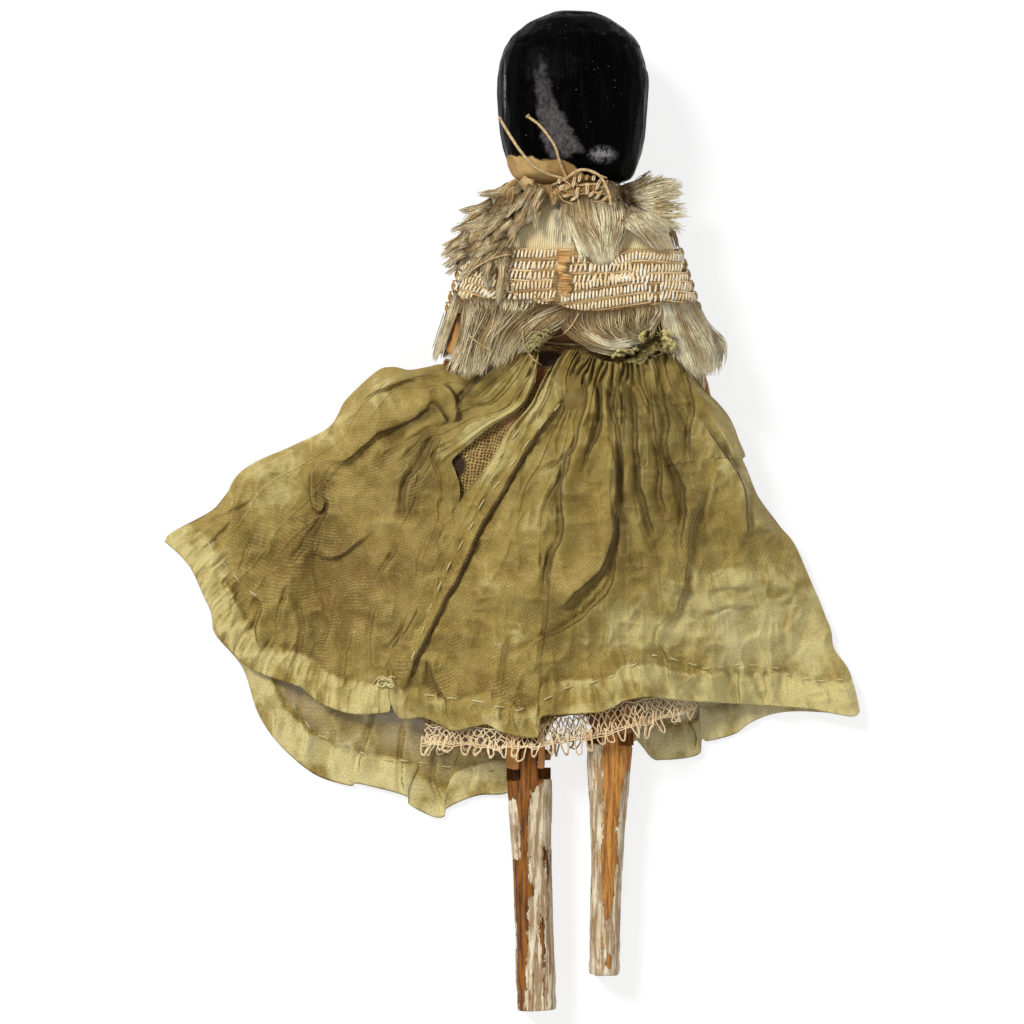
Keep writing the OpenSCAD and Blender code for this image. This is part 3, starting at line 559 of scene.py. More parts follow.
def make_body_paint():
    """Black lacquered hair with a painted sheen and painted highlights, painted skin and face, and a
    pinkish-brown body.
    """
    made, s = material("painted_head_and_body")
    place = object_place(s)
    axes = s.axes(place)
    x, y, z = axes[0], axes[1], axes[2]
    ragged = s.times(s.minus(s.noise(place, 420, 4, 0.6), 0.5), 1.8 * MM)
    right = s.most(s.minus(x, 7.2 * MM), 0)
    slope = s.plus(s.times(s.minus(x, MID_X * MM), 0.1), s.times(right, 0.5))
    line = s.plus(s.plus(y, slope), ragged)
    hair_back = s.ramp(line, 48.5 * MM, 48.8 * MM)

    front = s.ramp(z, (BODY_Z - 0.5) * MM, (BODY_Z - 1.6) * MM)

    def spot_on_face(x, y, across, tall, outer, inner, strength=1):
        return s.times(s.ramp(s.oval(axes, x, y, across, tall), outer, inner, 0, strength), front)

    face = spot_on_face(MID_X, FACE_Y, 8.2, 10.2, 1.03, 0.97)
    hair = s.times(hair_back, s.minus(1, face))
    spot = s.noise(place, 900, 4)
    blotch = s.noise(place, 260, 4)
    skin = s.mix(s.ramp(blotch, 0.35, 0.7), srgb(204, 170, 112), srgb(158, 126, 76))
    skin = s.mix(s.ramp(spot, 0.6, 0.72, 0, 0.5), skin, srgb(110, 74, 40))
    pale = s.mix(s.ramp(blotch, 0.35, 0.7), srgb(226, 190, 156), srgb(206, 164, 128))
    skin = s.mix(front, skin, pale)
    low = s.ramp(y, 36 * MM, 30 * MM)
    body = s.mix(s.ramp(blotch, 0.35, 0.65), srgb(184, 132, 100), srgb(134, 88, 60))
    skin = s.mix(low, skin, body)
    for side in (-1, 1):
        eye = MID_X + side * EYE_APART, EYE_Y
        skin = s.mix(spot_on_face(MID_X + side * 4.6, 55, 1.9, 1.7, 1.2, 0.4, 0.5), skin,
            srgb(206, 120, 100))
        skin = s.mix(spot_on_face(*eye, 1.5, 0.8, 1.05, 0.95), skin, srgb(232, 226, 214))
        skin = s.mix(spot_on_face(*eye, 0.62, 0.72, 1.08, 0.92), skin, srgb(40, 34, 34))
        arch = s.oval(axes, *eye, 1.9, 1.9)
        brow = s.times(s.ramp(s.math("ABSOLUTE", s.minus(arch, 1), 0), 0.12, 0.04),
            s.times(s.ramp(y, 60.1 * MM, 60.3 * MM), front))
        skin = s.mix(brow, skin, srgb(60, 44, 34))
    skin = s.mix(spot_on_face(MID_X, MOUTH_Y, 1.5, 0.5, 1.1, 0.9), skin, srgb(176, 60, 54))
    edge = s.add("ShaderNodeNewGeometry").outputs["Pointiness"]
    rub = s.ramp(s.plus(edge, s.times(spot, 0.12)), 0.60, 0.66)
    brush = s.noise(place, 520, 6, 0.65, (3.2, 0.25, 1))
    black = s.mix(s.ramp(brush, 0.45, 0.8), (0, 0, 0, 1), srgb(11, 9, 8))
    black = s.mix(s.times(rub, 0.3), black, srgb(58, 42, 30))
    specks = s.ramp(s.noise(place, 2300, 2), 0.72, 0.76)
    black = s.mix(s.times(specks, 0.5), black, srgb(150, 140, 124))
    streak = s.noise(place, 1900, 4, 0.7, (1, 0.8, 1))
    # A painted sheen: grey brush streaks in the colour inside the sheen outline on the back of the hair, as
    # a painted reflection.
    sheen = s.kept("sheen")
    back = s.ramp(z, (BODY_Z + 1) * MM, (BODY_Z + 3) * MM)
    painted_sheen = s.ramp(s.plus(sheen, s.times(s.minus(spot, 0.5), 2.0)), 0.0, 0.9)
    painted_sheen = s.times(s.times(painted_sheen, s.ramp(streak, 0.3, 0.66, 0.25, 1)),
        s.ramp(y, 62 * MM, 52 * MM, 0.25, 0.5))
    black = s.mix(s.times(painted_sheen, back), black, srgb(132, 126, 126))
    # Painted highlights: a pale glint low on the right of the hair and a thin highlight line at its left.
    for px, py, a, b, strong in ((12.6, 49.6, 2.2, 1.3, 0.6), (-1.0, 58.6, 0.22, 5, 0.4)):
        painted_glint = s.times(s.ramp(s.oval(axes, px, py, a, b), 1.15, 0.2), s.ramp(streak, 0.36, 0.62))
        black = s.mix(s.times(s.times(painted_glint, back), strong), black, srgb(190, 188, 188))
    gloss = s.ramp(brush, 0.35, 0.7, 0.24, 0.5)
    finish_material(s, s.mix(hair, skin, black), bump=s.plus(brush, s.times(spot, 0.6)),
        bump_mm=0.07, Roughness=s.add("ShaderNodeMix", {0: hair, 2: 0.6, 3: gloss}).outputs[0],
        Specular_IOR_Level=0.02)
    return made


BARE_WOOD = make_wood("old_wood", srgb(84, 46, 8), srgb(168, 106, 36), srgb(196, 134, 60))
PEG_WOOD = make_wood("peg_wood", srgb(78, 42, 20), srgb(122, 72, 36), srgb(140, 88, 46))
WORN_PAINT = make_worn_paint("worn_cream_paint")
BODY_PAINT = make_body_paint()


def carved(node, surface, voxel, facet, depth, seed, body):
    """A copy of a CAD solid, softened and cut into the flat strokes of a knife, that stands for it."""
    source = frame["nodes"][node]
    mesh = source.data.copy()
    mesh.transform(source.matrix_world)
    made = bpy.data.objects.new(node + "_carved", mesh)
    scene.collection.objects.link(made)
    remesh = made.modifiers.new("remesh", "REMESH")
    remesh.mode, remesh.voxel_size = "VOXEL", voxel * MM
    soften = made.modifiers.new("soften", "SMOOTH")
    soften.factor, soften.iterations = 0.5, 4
    bpy.context.view_layer.update()
    done = bpy.data.meshes.new_from_object(made.evaluated_get(bpy.context.evaluated_depsgraph_get()))
    made.modifiers.clear()
    made.data = done
    count = len(done.vertices)
    place, normal = places(done), np.empty(count * 3)
    done.vertices.foreach_get("normal", normal)
    normal = normal.reshape(-1, 3)
    rng = np.random.default_rng(seed)
    area = sum(p.area for p in done.polygons) / MM ** 2
    picks = rng.choice(count, max(12, int(area / facet ** 2)), replace=False)
    tree = KDTree(len(picks))
    stretch = np.array([1, 0.45, 1])
    for i, k in enumerate(picks):
        tree.insert(place[k] * stretch, i)
    tree.balance()
    near = picks[[tree.find(p * stretch)[1] for p in place]]
    off = ((place - place[near]) * normal[near]).sum(-1)
    level = np.clip(off, -depth, depth) * (np.abs(off) < depth * 3)
    place = place - normal[near] * level[:, None] * 0.75
    done.vertices.foreach_set("co", (place * MM).ravel())
    done.shade_smooth()
    done.materials.clear()
    done.materials.append(surface)
    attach(made, body)
    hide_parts(node)
    return made


def make_knee_lip(side):
    """A lip on the front of a shin's shoulders: it closes the fork as seen from behind and clears it."""
    x, y, z = KNEES[side]
    half = 3.1 if side == "left" else 3.3
    across = np.linspace(-half, half, 15)
    deep = [(-1.75, -1.9), (-3.6, -1.9), (-3.6, -2.75), (-1.9, -2.75)]
    round_off = 1 - 0.25 * np.clip((np.abs(across) / half - 0.7) / 0.3, 0, 1) ** 2
    points = [(x + a, y + dy, z + dz * r) for a, r in zip(across, round_off) for dy, dz in deep]
    faces = [(i * 4 + k, i * 4 + (k + 1) % 4, i * 4 + 4 + (k + 1) % 4,
        i * 4 + 4 + k) for i in range(14) for k in range(4)]
    faces += [(3, 2, 1, 0), (56, 57, 58, 59)]
    lip = link("knee_lip_" + side, mesh_of("knee_lip_" + side, points, faces, False), WORN_PAINT,
        "shin_" + side)
    mark(lip, "bare", [[(400, 600), (700, 600), (700, 900), (400, 900)]])


# Bare wood on the shins and the painted sheen of the hair, outlined on the photograph
BARE = {"left": [[(495, 690), (565, 690), (565, 776), (543, 776), (537, 786), (532, 792), (531, 803),
    (531, 822), (528, 836), (529, 850), (530, 862), (528, 876), (533, 886), (533, 893), (527, 905),
    (526, 925), (525, 940), (525, 1015), (518, 1015), (516, 940), (513, 915), (511, 880), (506, 862),
    (519, 860), (520, 840), (518, 812), (513, 800), (500, 800)], [(542, 846), (549, 850), (550, 880),
    (546, 890)], [(541, 915), (545, 920), (544, 1000), (541, 1000)], [(504, 900), (507, 960),
    (509, 1011), (504, 1011)]], "right": [[(601, 690), (640, 690), (636, 765), (627, 770), (623, 783),
    (618, 800), (616, 830), (616, 868), (612, 880), (612, 895), (609, 915), (606, 922), (603, 905),
    (602, 860), (602, 800)], [(599, 930), (602, 934), (604, 950), (600, 946)],
    [(606, 952), (611, 954), (610, 969), (605, 966)]]}
SHEEN = [(541, 55), (549, 75), (553, 95), (560, 110), (568, 122), (577, 138), (584, 155), (570, 162),
    (548, 164), (538, 140), (534, 118), (532, 95), (531, 75)]
head = carved("head_and_torso", BODY_PAINT, 0.3, 3.6, 0.16, 3, "torso")
mark(head, "sheen", [SHEEN])
for i, side in enumerate(SIDES):
    carved("upper_arm_" + side, BARE_WOOD, 0.2, 2.0, 0.1, 11 + i, "upper_arm_" + side)
    carved("forearm_" + side, WORN_PAINT, 0.18, 1.8, 0.08, 21 + i, "forearm_" + side)
    carved("thigh_" + side, BARE_WOOD, 0.22, 2.6, 0.12, 31 + i, "thigh_" + side)
    shin = carved("shin_" + side, WORN_PAINT, 0.2, 2.4, 0.14, 41 + i, "shin_" + side)
    mark(shin, "bare", BARE[side])
    make_knee_lip(side)
for name, node in frame["nodes"].items():
    if "_peg" in name:
        node.data.materials.clear()
        node.data.materials.append(PEG_WOOD)


# Cloth
def make_gauze():
    """Thin green silk: a very fine weave, mottled green and brown, thin in places, with painted shade in its
    folds, painted shadow lines along them and painted highlights on its ridges.
    """
    made, s = material("green_silk_gauze")
    place = object_place(s)
    flat = s.cloth()
    thread = s.most(s.bands(flat, 0.19, "X", 1.2), s.bands(flat, 0.17, "Y", 1.2))
    twill = s.bands(flat, 0.3, "DIAGONAL", 2.0)
    slub = s.noise(flat, 1500, 3, 0.6, (0.25, 1.6, 1))
    mottle = s.noise(place, 120, 5, 0.62)
    stain = s.noise(place, 330, 5, 0.65)
    grain = s.noise(flat, 4200, 2, 0.7)
    crumple = s.noise(place, 300, 5, 0.6)
    pale, crease, line = (s.kept(n) for n in ("pale", "crease", "line"))
    tone_and_highlight = s.plus(pale, s.times(s.minus(mottle, 0.5), 3.0))
    tone_and_highlight = s.plus(tone_and_highlight, s.times(s.minus(stain, 0.5), 2.2))
    colour = s.mix(s.ramp(tone_and_highlight, -1.4, 0.1), srgb(122, 96, 34), srgb(168, 144, 72))
    # The palest colour: the cloth's paler tone and painted highlights on its ridges.
    colour = s.mix(s.ramp(tone_and_highlight, 0.0, 1.3), colour, srgb(238, 221, 150))
    # Painted shade in the creases, then a painted shadow line along each fold.
    colour = s.mix(s.ramp(crease, 0.05, 1.0, 0, 0.8), colour, srgb(84, 60, 10))
    colour = s.mix(s.times(s.ramp(line, 0.72, 0.92), 0.92), colour, srgb(66, 44, 6))
    patch = s.ramp(stain, 0.4, 0.6, 0.04, 0.18)
    colour = s.mix(s.times(s.ramp(twill, 0.35, 0.75), patch), colour, srgb(226, 208, 150))
    colour = s.mix(s.ramp(thread, 0.1, 0.7, 0.2, 0), colour, srgb(110, 88, 34))
    colour = s.mix(s.ramp(grain, 0.42, 0.72, 0, 0.4), colour, srgb(96, 74, 26))
    colour = s.mix(s.ramp(grain, 0.46, 0.28, 0, 0.35), colour, srgb(224, 206, 136))
    cover = s.plus(s.ramp(thread, 0.2, 0.75, 0.76, 0.95), s.times(crease, 0.3))
    cover = s.minus(cover, s.ramp(tone_and_highlight, 0.2, 1.5, 0, 0.16), clamp=True)
    bump = s.plus(s.times(thread, 0.1), s.times(slub, 0.2))
    finish_material(s, colour, bump=s.plus(bump, crumple), bump_mm=0.3, Alpha=cover, Roughness=0.62,
        Specular_IOR_Level=0.22, Sheen_Weight=0.08, Sheen_Tint=(0.95, 0.85, 0.5, 1))
    return made


# Dark spots of painted shade deep in the opening, and an orange-brown patch, where the skirt opens over the
# petticoat: x, y, half width, half height, colour
WEAVE_SPOTS = [(-7.8, 6.5, 1.5, 1.8, (54, 32, 14)), (5.1, 21.3, 2.3, 1.2, (48, 26, 12)),
    (4.1, 18.3, 0.9, 2.0, (150, 88, 38))]


def make_open_weave():
    """Tan threads a thread's width apart, with dark painted shade in the gaps between them."""
    made, s = material("open_weave_cotton")
    flat = s.cloth()
    place = object_place(s)
    axes = s.axes(place)
    thread = s.most(s.bands(flat, 0.56, "X", 5.0), s.bands(flat, 0.42, "Y", 5.0))
    dirt = s.noise(place, 500, 4)
    colour = s.mix(s.ramp(dirt, 0.35, 0.7), srgb(192, 162, 96), srgb(140, 106, 50))
    held = s.ramp(thread, 0.4, 0.85)
    # The gaps between the threads are painted dark brown, as painted shade.
    colour = s.mix(held, srgb(80, 54, 20), colour)
    for x, y, across, tall, tone in WEAVE_SPOTS:
        colour = s.mix(s.ramp(s.oval(axes, x, y, across, tall), 1.25, 0.7), colour, srgb(*tone))
    colour = s.mix(s.ramp(s.oval(axes, 0.6, 12.9, 2.4, 1.4), 1.2, 0.6, 0, 0.75), colour,
        srgb(190, 142, 92))
    finish_material(s, colour, bump=thread, bump_mm=0.15, Alpha=s.ramp(held, 0, 1, 0.88, 1),
        Roughness=0.85)
    return made


GAUZE = make_gauze()
WEAVE = make_open_weave()


def coons(left, right, top, bottom, across, down):
    """A grid of places between four outlines, as (down, across, 2)."""
    l, r = smooth_path(from_photo(left), down), smooth_path(from_photo(right), down)
    t, b = smooth_path(from_photo(top), across), smooth_path(from_photo(bottom), across)
    u, v = np.linspace(0, 1, across)[None, :, None], np.linspace(0, 1, down)[:, None, None]
    corners = ((1 - u) * (1 - v) * l[0] + u * (1 - v) * r[0] + (1 - u) * v * l[-1] + u * v * r[-1])
    return (1 - u) * l[:, None] + u * r[:, None] + (1 - v) * t[None] + v * b[None] - corners


# A grid of cloth holds six values at each point: its place, how pale or brown it is with painted highlights
# on its ridges, the painted shade in its creases, and 1 less the distance in millimetres to the nearest fold
# line, along which a painted shadow line is drawn
PALE, CREASE_SHADE, FOLD_SHADOW_LINE = 3, 4, 5


def steps(grid, axis):
    """Millimetres from each point of a grid to the next one."""
    return np.linalg.norm(np.diff(grid[..., :3], axis=axis), axis=-1)


def sheet_mesh(name, grid):
    """A mesh over a (rows, columns, 3 or 6) grid with a map of lengths along the cloth, in metres."""
    rows, columns = grid.shape[:2]
    i = np.arange(rows * columns).reshape(rows, columns)
    faces = np.stack([i[:-1, :-1], i[1:, :-1], i[1:, 1:], i[:-1, 1:]], -1).reshape(-1, 4)
    mesh = mesh_of(name, grid[..., :3].reshape(-1, 3), faces.tolist())
    u = np.concatenate([[0], np.cumsum(steps(grid, 1).mean(0))])
    v = np.concatenate([[0], np.cumsum(steps(grid, 0).mean(1))])
    flat = np.stack(np.meshgrid(u, v), -1).reshape(-1, 2) * MM
    layer = mesh.uv_layers.new(name="cloth")
    corner = np.empty(len(mesh.loops), int)
    mesh.loops.foreach_get("vertex_index", corner)
    layer.data.foreach_set("uv", flat[corner].ravel())
    for label, channel in (("pale", PALE), ("crease", CREASE_SHADE), ("line", FOLD_SHADOW_LINE)):
        if grid.shape[2] > channel:
            keep(mesh, label, grid[..., channel])
    return mesh, (u[-1], v[-1])


HEM_W = 4.8
BACK_GRID, FRONT_GRID = (460, 260), (300, 220)
ABOVE_FLOOR = 0.12


def fold_under(grid, side, width, gap):
    """Turns the last width millimetres of a grid's edge under itself: side is bottom, left or right."""
    g = {"bottom": grid, "left": grid[:, ::-1].transpose(1, 0, 2), "right": grid.transpose(1, 0, 2)}[side]
    step = steps(g, 0).mean(1)[::-1]
    rows = min(len(step) - 1, int(np.searchsorted(np.cumsum(step), width)) + 1)
    back = g[-2:-2 - rows:-1].copy()
    back[..., 2] -= gap
    g = np.concatenate([g, back])
    return {"bottom": g, "left": g.transpose(1, 0, 2)[:, ::-1], "right": g.transpose(1, 0, 2)}[side]


WAIST_RIGHT = [(558, 360), (566, 351), (582, 352), (600, 360), (620, 363), (637, 357), (650, 346),
    (668, 338)]
PLACKET = [(558, 360), (551, 367), (541, 384), (530, 405), (508, 430), (485, 465), (464, 492), (430, 560),
    (400, 640), (386, 688), (388, 702)]
RIGHT_EDGE = [(668, 338), (682, 352), (699, 384), (718, 403), (731, 422), (743, 454), (740, 459),
    (756, 492), (779, 524), (798, 546), (817, 591), (830, 626), (833, 648), (849, 671), (858, 703),
    (860, 712)]
RIGHT_HEM = [(388, 702), (400, 719), (423, 718), (449, 730), (465, 728), (485, 724), (497, 730),
    (512, 734), (531, 737), (538, 734), (541, 716), (560, 714), (583, 712), (600, 711), (615, 705),
    (623, 700), (647, 696), (662, 698), (696, 702), (708, 702), (750, 705), (795, 708), (820, 711),
    (852, 717), (860, 712)]
LEFT_EDGE = [(521, 338), (500, 350), (475, 366), (458, 374), (443, 364), (430, 366), (410, 369),
    (391, 366), (374, 371), (345, 398), (327, 426), (293, 444), (257, 460), (235, 476), (222, 496),
    (208, 512), (170, 532), (163, 541)]
LEFT_WAIST = [(521, 338), (526, 342), (531, 346), (536, 352)]
FLAP_EDGE = [(536, 352), (538, 364), (536, 381), (528, 399), (520, 409), (508, 417), (495, 424),
    (483, 432), (471, 442), (453, 459), (455, 470), (460, 490), (458, 520), (440, 575), (415, 640),
    (396, 680), (390, 712)]
LEFT_HEM = [(163, 541), (186, 564), (208, 606), (214, 632), (241, 664), (262, 676), (280, 682),
    (297, 688), (315, 702), (346, 714), (380, 714), (390, 712)]
FRONT_LEFT_HEM = [(163, 541), (186, 564), (208, 606), (212, 632), (241, 668), (257, 717), (280, 750),
    (313, 776), (348, 787), (358, 785), (404, 797), (407, 806), (430, 818), (443, 818), (446, 810),
    (478, 797), (506, 794), (530, 772), (550, 728), (568, 710)]
FRONT_RIGHT_HEM = [(568, 710), (592, 720), (635, 738), (654, 759), (665, 761), (686, 759), (700, 754),
    (702, 740), (708, 742), (735, 735), (751, 724), (775, 715), (800, 712), (840, 714), (860, 712)]
FRONT_MIDDLE = [(568, 345), (568, 710)]

# Folds along lines of the photograph: [points, height, width, depth of painted shade and painted shadow
# line]. The raised side is on the left of someone who walks along the line, and the cloth drops away on the
# right.
RIGHT_FOLDS = [
    ([(399, 702), (405, 680), (427, 631), (453, 581), (485, 516), (526, 450), (563, 395), (577, 364)],
    0.9, 0.8, 1.3),
    ([(587, 359), (586, 377), (589, 398), (580, 427), (576, 453), (560, 463), (530, 480)], 0.8, 1.0,
    0.7),
    ([(602, 372), (604, 406), (602, 432), (589, 461), (583, 479)], 1.1, 1.1, 0.8),
    ([(547, 612), (560, 605), (579, 584), (597, 565), (610, 534), (611, 497), (610, 466), (603, 430)],
    1.5, 2.2, 0.9),
    ([(575, 440), (567, 466), (564, 497), (564, 534), (555, 560), (547, 591), (546, 610)], 1.1, 1.5,
    0.8),
    ([(578, 436), (568, 476), (553, 500), (543, 523)], 0.8, 1.2, 0.6),
    ([(617, 372), (615, 408), (623, 435), (624, 476), (623, 513)], 1.1, 1.3, 0.8),
    ([(611, 476), (617, 513), (617, 547), (613, 578), (607, 594), (579, 623), (537, 644), (498, 667)],
    1.0, 1.6, 0.7),
    ([(626, 375), (627, 427), (628, 455)], 0.9, 0.9, 0.7),
    ([(636, 380), (638, 429), (641, 476), (649, 503), (652, 529), (649, 555)], 1.1, 1.5, 0.8),
    ([(662, 364), (664, 387), (670, 416), (669, 445), (678, 469), (687, 487), (686, 513), (682, 539),
    (683, 578)], 1.2, 1.7, 0.8),
    ([(685, 364), (690, 387), (694, 406), (691, 435), (690, 471)], 1.0, 1.3, 0.7),
    ([(650, 370), (655, 400), (656, 430), (662, 460), (664, 500), (672, 530)], 0.8, 1.4, 0.8),
    ([(738, 545), (746, 526), (741, 487), (728, 463), (707, 435), (694, 406)], 0.9, 1.6, 0.7),
    ([(657, 631), (681, 591), (685, 550), (691, 513), (704, 484), (712, 470)], 0.8, 2.0, 0.5),
    ([(534, 497), (513, 531), (500, 563), (482, 592), (458, 639)], 0.22, 0.3, 0.0),
    ([(430, 654), (437, 680), (446, 700), (450, 727)], 0.9, 1.1, 0.6),
    ([(741, 662), (739, 680), (742, 712)], 0.8, 1.0, 0.5),
    ([(770, 668), (772, 690), (768, 708)], 0.6, 0.9, 0.4),
    ([(665, 622), (658, 640), (668, 655), (672, 690)], 0.7, 1.2, 0.5),
    ([(592, 676), (598, 690), (600, 708)], 0.6, 0.9, 0.4),
    ([(520, 700), (516, 716), (522, 734)], 0.6, 1.0, 0.5),
    ([(706, 590), (730, 583), (757, 588)], 0.5, 1.2, 0.2),
    ([(700, 612), (728, 603), (762, 607)], 0.5, 1.2, 0.2),
    ([(800, 590), (790, 630), (800, 668)], 0.6, 1.6, 0.3),
    ([(718, 425), (738, 470), (748, 500)], 0.5, 1.2, 0.4)]
LEFT_FOLDS = [
    ([(329, 461), (344, 459), (360, 446), (377, 431), (403, 422), (419, 412), (430, 398), (426, 384)],
    0.9, 1.8, 0.8),
    ([(337, 465), (327, 481), (322, 496), (319, 508)], 0.9, 0.75, 0.0),
    ([(308, 466), (310, 486), (312, 504), (318, 512), (325, 506), (327, 494)], 0.7, 0.6, 0.7),
    ([(342, 480), (330, 481), (326, 495), (328, 505), (320, 530), (308, 549), (294, 561), (287, 576)],
    0.9, 1.4, 0.8),
    ([(328, 526), (320, 553), (344, 551), (363, 535), (374, 530)], 0.7, 1.2, 0.6),
    ([(440, 431), (426, 464), (412, 481), (407, 509), (403, 528)], 1.2, 1.5, 0.8),
    ([(445, 432), (437, 458), (424, 480), (417, 498)], 0.8, 0.9, 0.6),
    ([(400, 540), (396, 557), (377, 580)], 0.8, 1.2, 0.6),
    ([(419, 604), (418, 612), (405, 632), (388, 656)], 0.9, 1.2, 0.8),
    ([(240, 479), (235, 495), (233, 519), (238, 531)], 0.5, 0.9, 0.4),
    ([(202, 519), (228, 509), (254, 493)], 0.4, 0.8, 0.4),
    ([(197, 549), (212, 535), (233, 514)], 0.4, 0.9, 0.4),
    ([(256, 533), (247, 561), (238, 580)], 0.6, 1.0, 0.4),
    ([(410, 460), (400, 474), (384, 481)], 0.7, 1.0, 0.6),
    ([(358, 402), (381, 387), (426, 373), (447, 379)], 0.6, 1.1, 0.5),
    ([(318, 443), (327, 428), (345, 404)], 0.4, 1.0, 0.4),
    ([(452, 424), (456, 408), (450, 392), (436, 382)], 1.0, 0.9, 0.9),
    ([(446, 424), (438, 411), (428, 403)], 1.0, 0.8, 0.9),
    ([(522, 341), (503, 360), (480, 384), (462, 404), (449, 424)], 1.1, 1.2, 1.0),
    ([(535, 350), (512, 372), (488, 396), (470, 412)], 0.6, 0.9, 0.5),
    ([(542, 358), (530, 380), (512, 400)], 0.6, 0.9, 0.5),
    ([(440, 426), (405, 446), (384, 462), (374, 478)], 0.7, 1.2, 0.5),
    ([(436, 430), (414, 452), (398, 466)], 0.6, 0.9, 0.6),
    ([(334, 608), (330, 627), (320, 658)], 0.7, 1.2, 0.5),
    ([(289, 585), (283, 610), (280, 632)], 0.7, 1.1, 0.5),
    ([(452, 540), (440, 575), (418, 604)], 0.7, 1.0, 0.6),
    ([(380, 600), (372, 640), (372, 680)], 0.6, 1.2, 0.5),
    ([(352, 625), (350, 650), (340, 690)], 0.6, 1.2, 0.5),
    ([(300, 600), (305, 630), (298, 660)], 0.6, 1.1, 0.5),
    ([(250, 590), (262, 606), (256, 630), (262, 655)], 0.7, 1.1, 0.6),
    ([(222, 575), (236, 600), (228, 620)], 0.6, 1.0, 0.4)]
FRONT_FOLDS = [
    ([(380, 700), (372, 735), (362, 760), (358, 786)], 0.9, 1.4, 0.6),
    ([(408, 722), (404, 760), (406, 806)], 0.9, 1.2, 0.6),
    ([(440, 740), (436, 780), (446, 812)], 0.7, 1.1, 0.5),
    ([(300, 705), (306, 735), (300, 765)], 0.7, 1.2, 0.4),
    ([(330, 715), (336, 745), (330, 780)], 0.6, 1.2, 0.4),
    ([(478, 760), (474, 796)], 0.6, 1.0, 0.5),
    ([(266, 690), (276, 716), (272, 740)], 0.6, 1.0, 0.4),
    ([(690, 720), (698, 738), (697, 754)], 0.6, 0.9, 0.6)]
# Places that are paler and thinner, or browner and darker: [middle, reach, how much]
WASHES = [((265, 485), (45, 34), 0.9), ((385, 392), (46, 22), 0.45), ((188, 560), (26, 30), 0.5),
    ((745, 600), (66, 60), 0.7), ((712, 430), (20, 40), 0.3), ((620, 630), (50, 40), 0.3),
    ((300, 530), (28, 40), -0.5), ((432, 512), (26, 44), -0.35), ((668, 450), (22, 66), -0.5),
    ((500, 590), (60, 90), -0.35), ((596, 470), (22, 90), -0.2), ((440, 690), (50, 24), -0.3),
    ((275, 590), (20, 30), -0.5), ((350, 560), (40, 26), -0.3), ((700, 520), (20, 40), -0.4),
    ((590, 400), (40, 30), 0.4), ((630, 520), (18, 60), -0.4), ((470, 400), (24, 26), 0.1),
    ((800, 640), (40, 50), 0.4), ((280, 690), (40, 14), -0.3), ((330, 745), (50, 24), 0.7),
    ((560, 610), (40, 40), -0.2), ((330, 560), (120, 130), -0.7), ((750, 660), (80, 44), 0.9),
    ((745, 696), (70, 14), 1.2), ((830, 700), (40, 20), 0.8), ((590, 700), (60, 22), -1.0),
    ((500, 720), (60, 20), -0.4), ((690, 600), (40, 60), 0.3), ((500, 560), (50, 70), 0.25)]


def crease(n, x, y):
    """Sharp-topped ridges, from -1 to 1, that wander and fade as creases in silk do."""
    return 1 - 3.2 * np.abs(n(x + 0.5 * n(x * 0.7 + 9, y * 0.7), y + 0.3 * n(x * 0.5, y * 0.9 + 4)))


def edge_away(grid, side):
    """Millimetres along the cloth from one edge of a grid."""
    axis, back = {"bottom": (0, True), "left": (1, False), "right": (1, True)}[side]
    g = np.flip(grid, axis) if back else grid
    total = np.cumsum(steps(g, axis), axis=axis)
    total = np.concatenate([np.zeros_like(np.take(total, [0], axis)), total], axis=axis)
    return np.flip(total, axis) if back else total


def beside(x, y, line):
    """Distance from a line, positive on its left, the share along it, and the way across it."""
    path = smooth_path(from_photo(line), 18)
    best = np.full(x.shape, 1e9)
    side, share, nx, ny = (np.zeros(x.shape) for _ in range(4))
    for i in range(len(path) - 1):
        a, d = path[i], path[i + 1] - path[i]
        size = np.hypot(*d)
        t = np.clip(((x - a[0]) * d[0] + (y - a[1]) * d[1]) / size ** 2, 0, 1)
        px, py = x - a[0] - d[0] * t, y - a[1] - d[1] * t
        away = np.hypot(px, py)
        near = away < best
        best = np.where(near, away, best)
        side = np.where(near, np.sign(d[0] * py - d[1] * px), side)
        share = np.where(near, (i + t) / (len(path) - 1), share)
        nx, ny = np.where(near, -d[1] / size, nx), np.where(near, d[0] / size, ny)
    return best * side, share, nx, ny


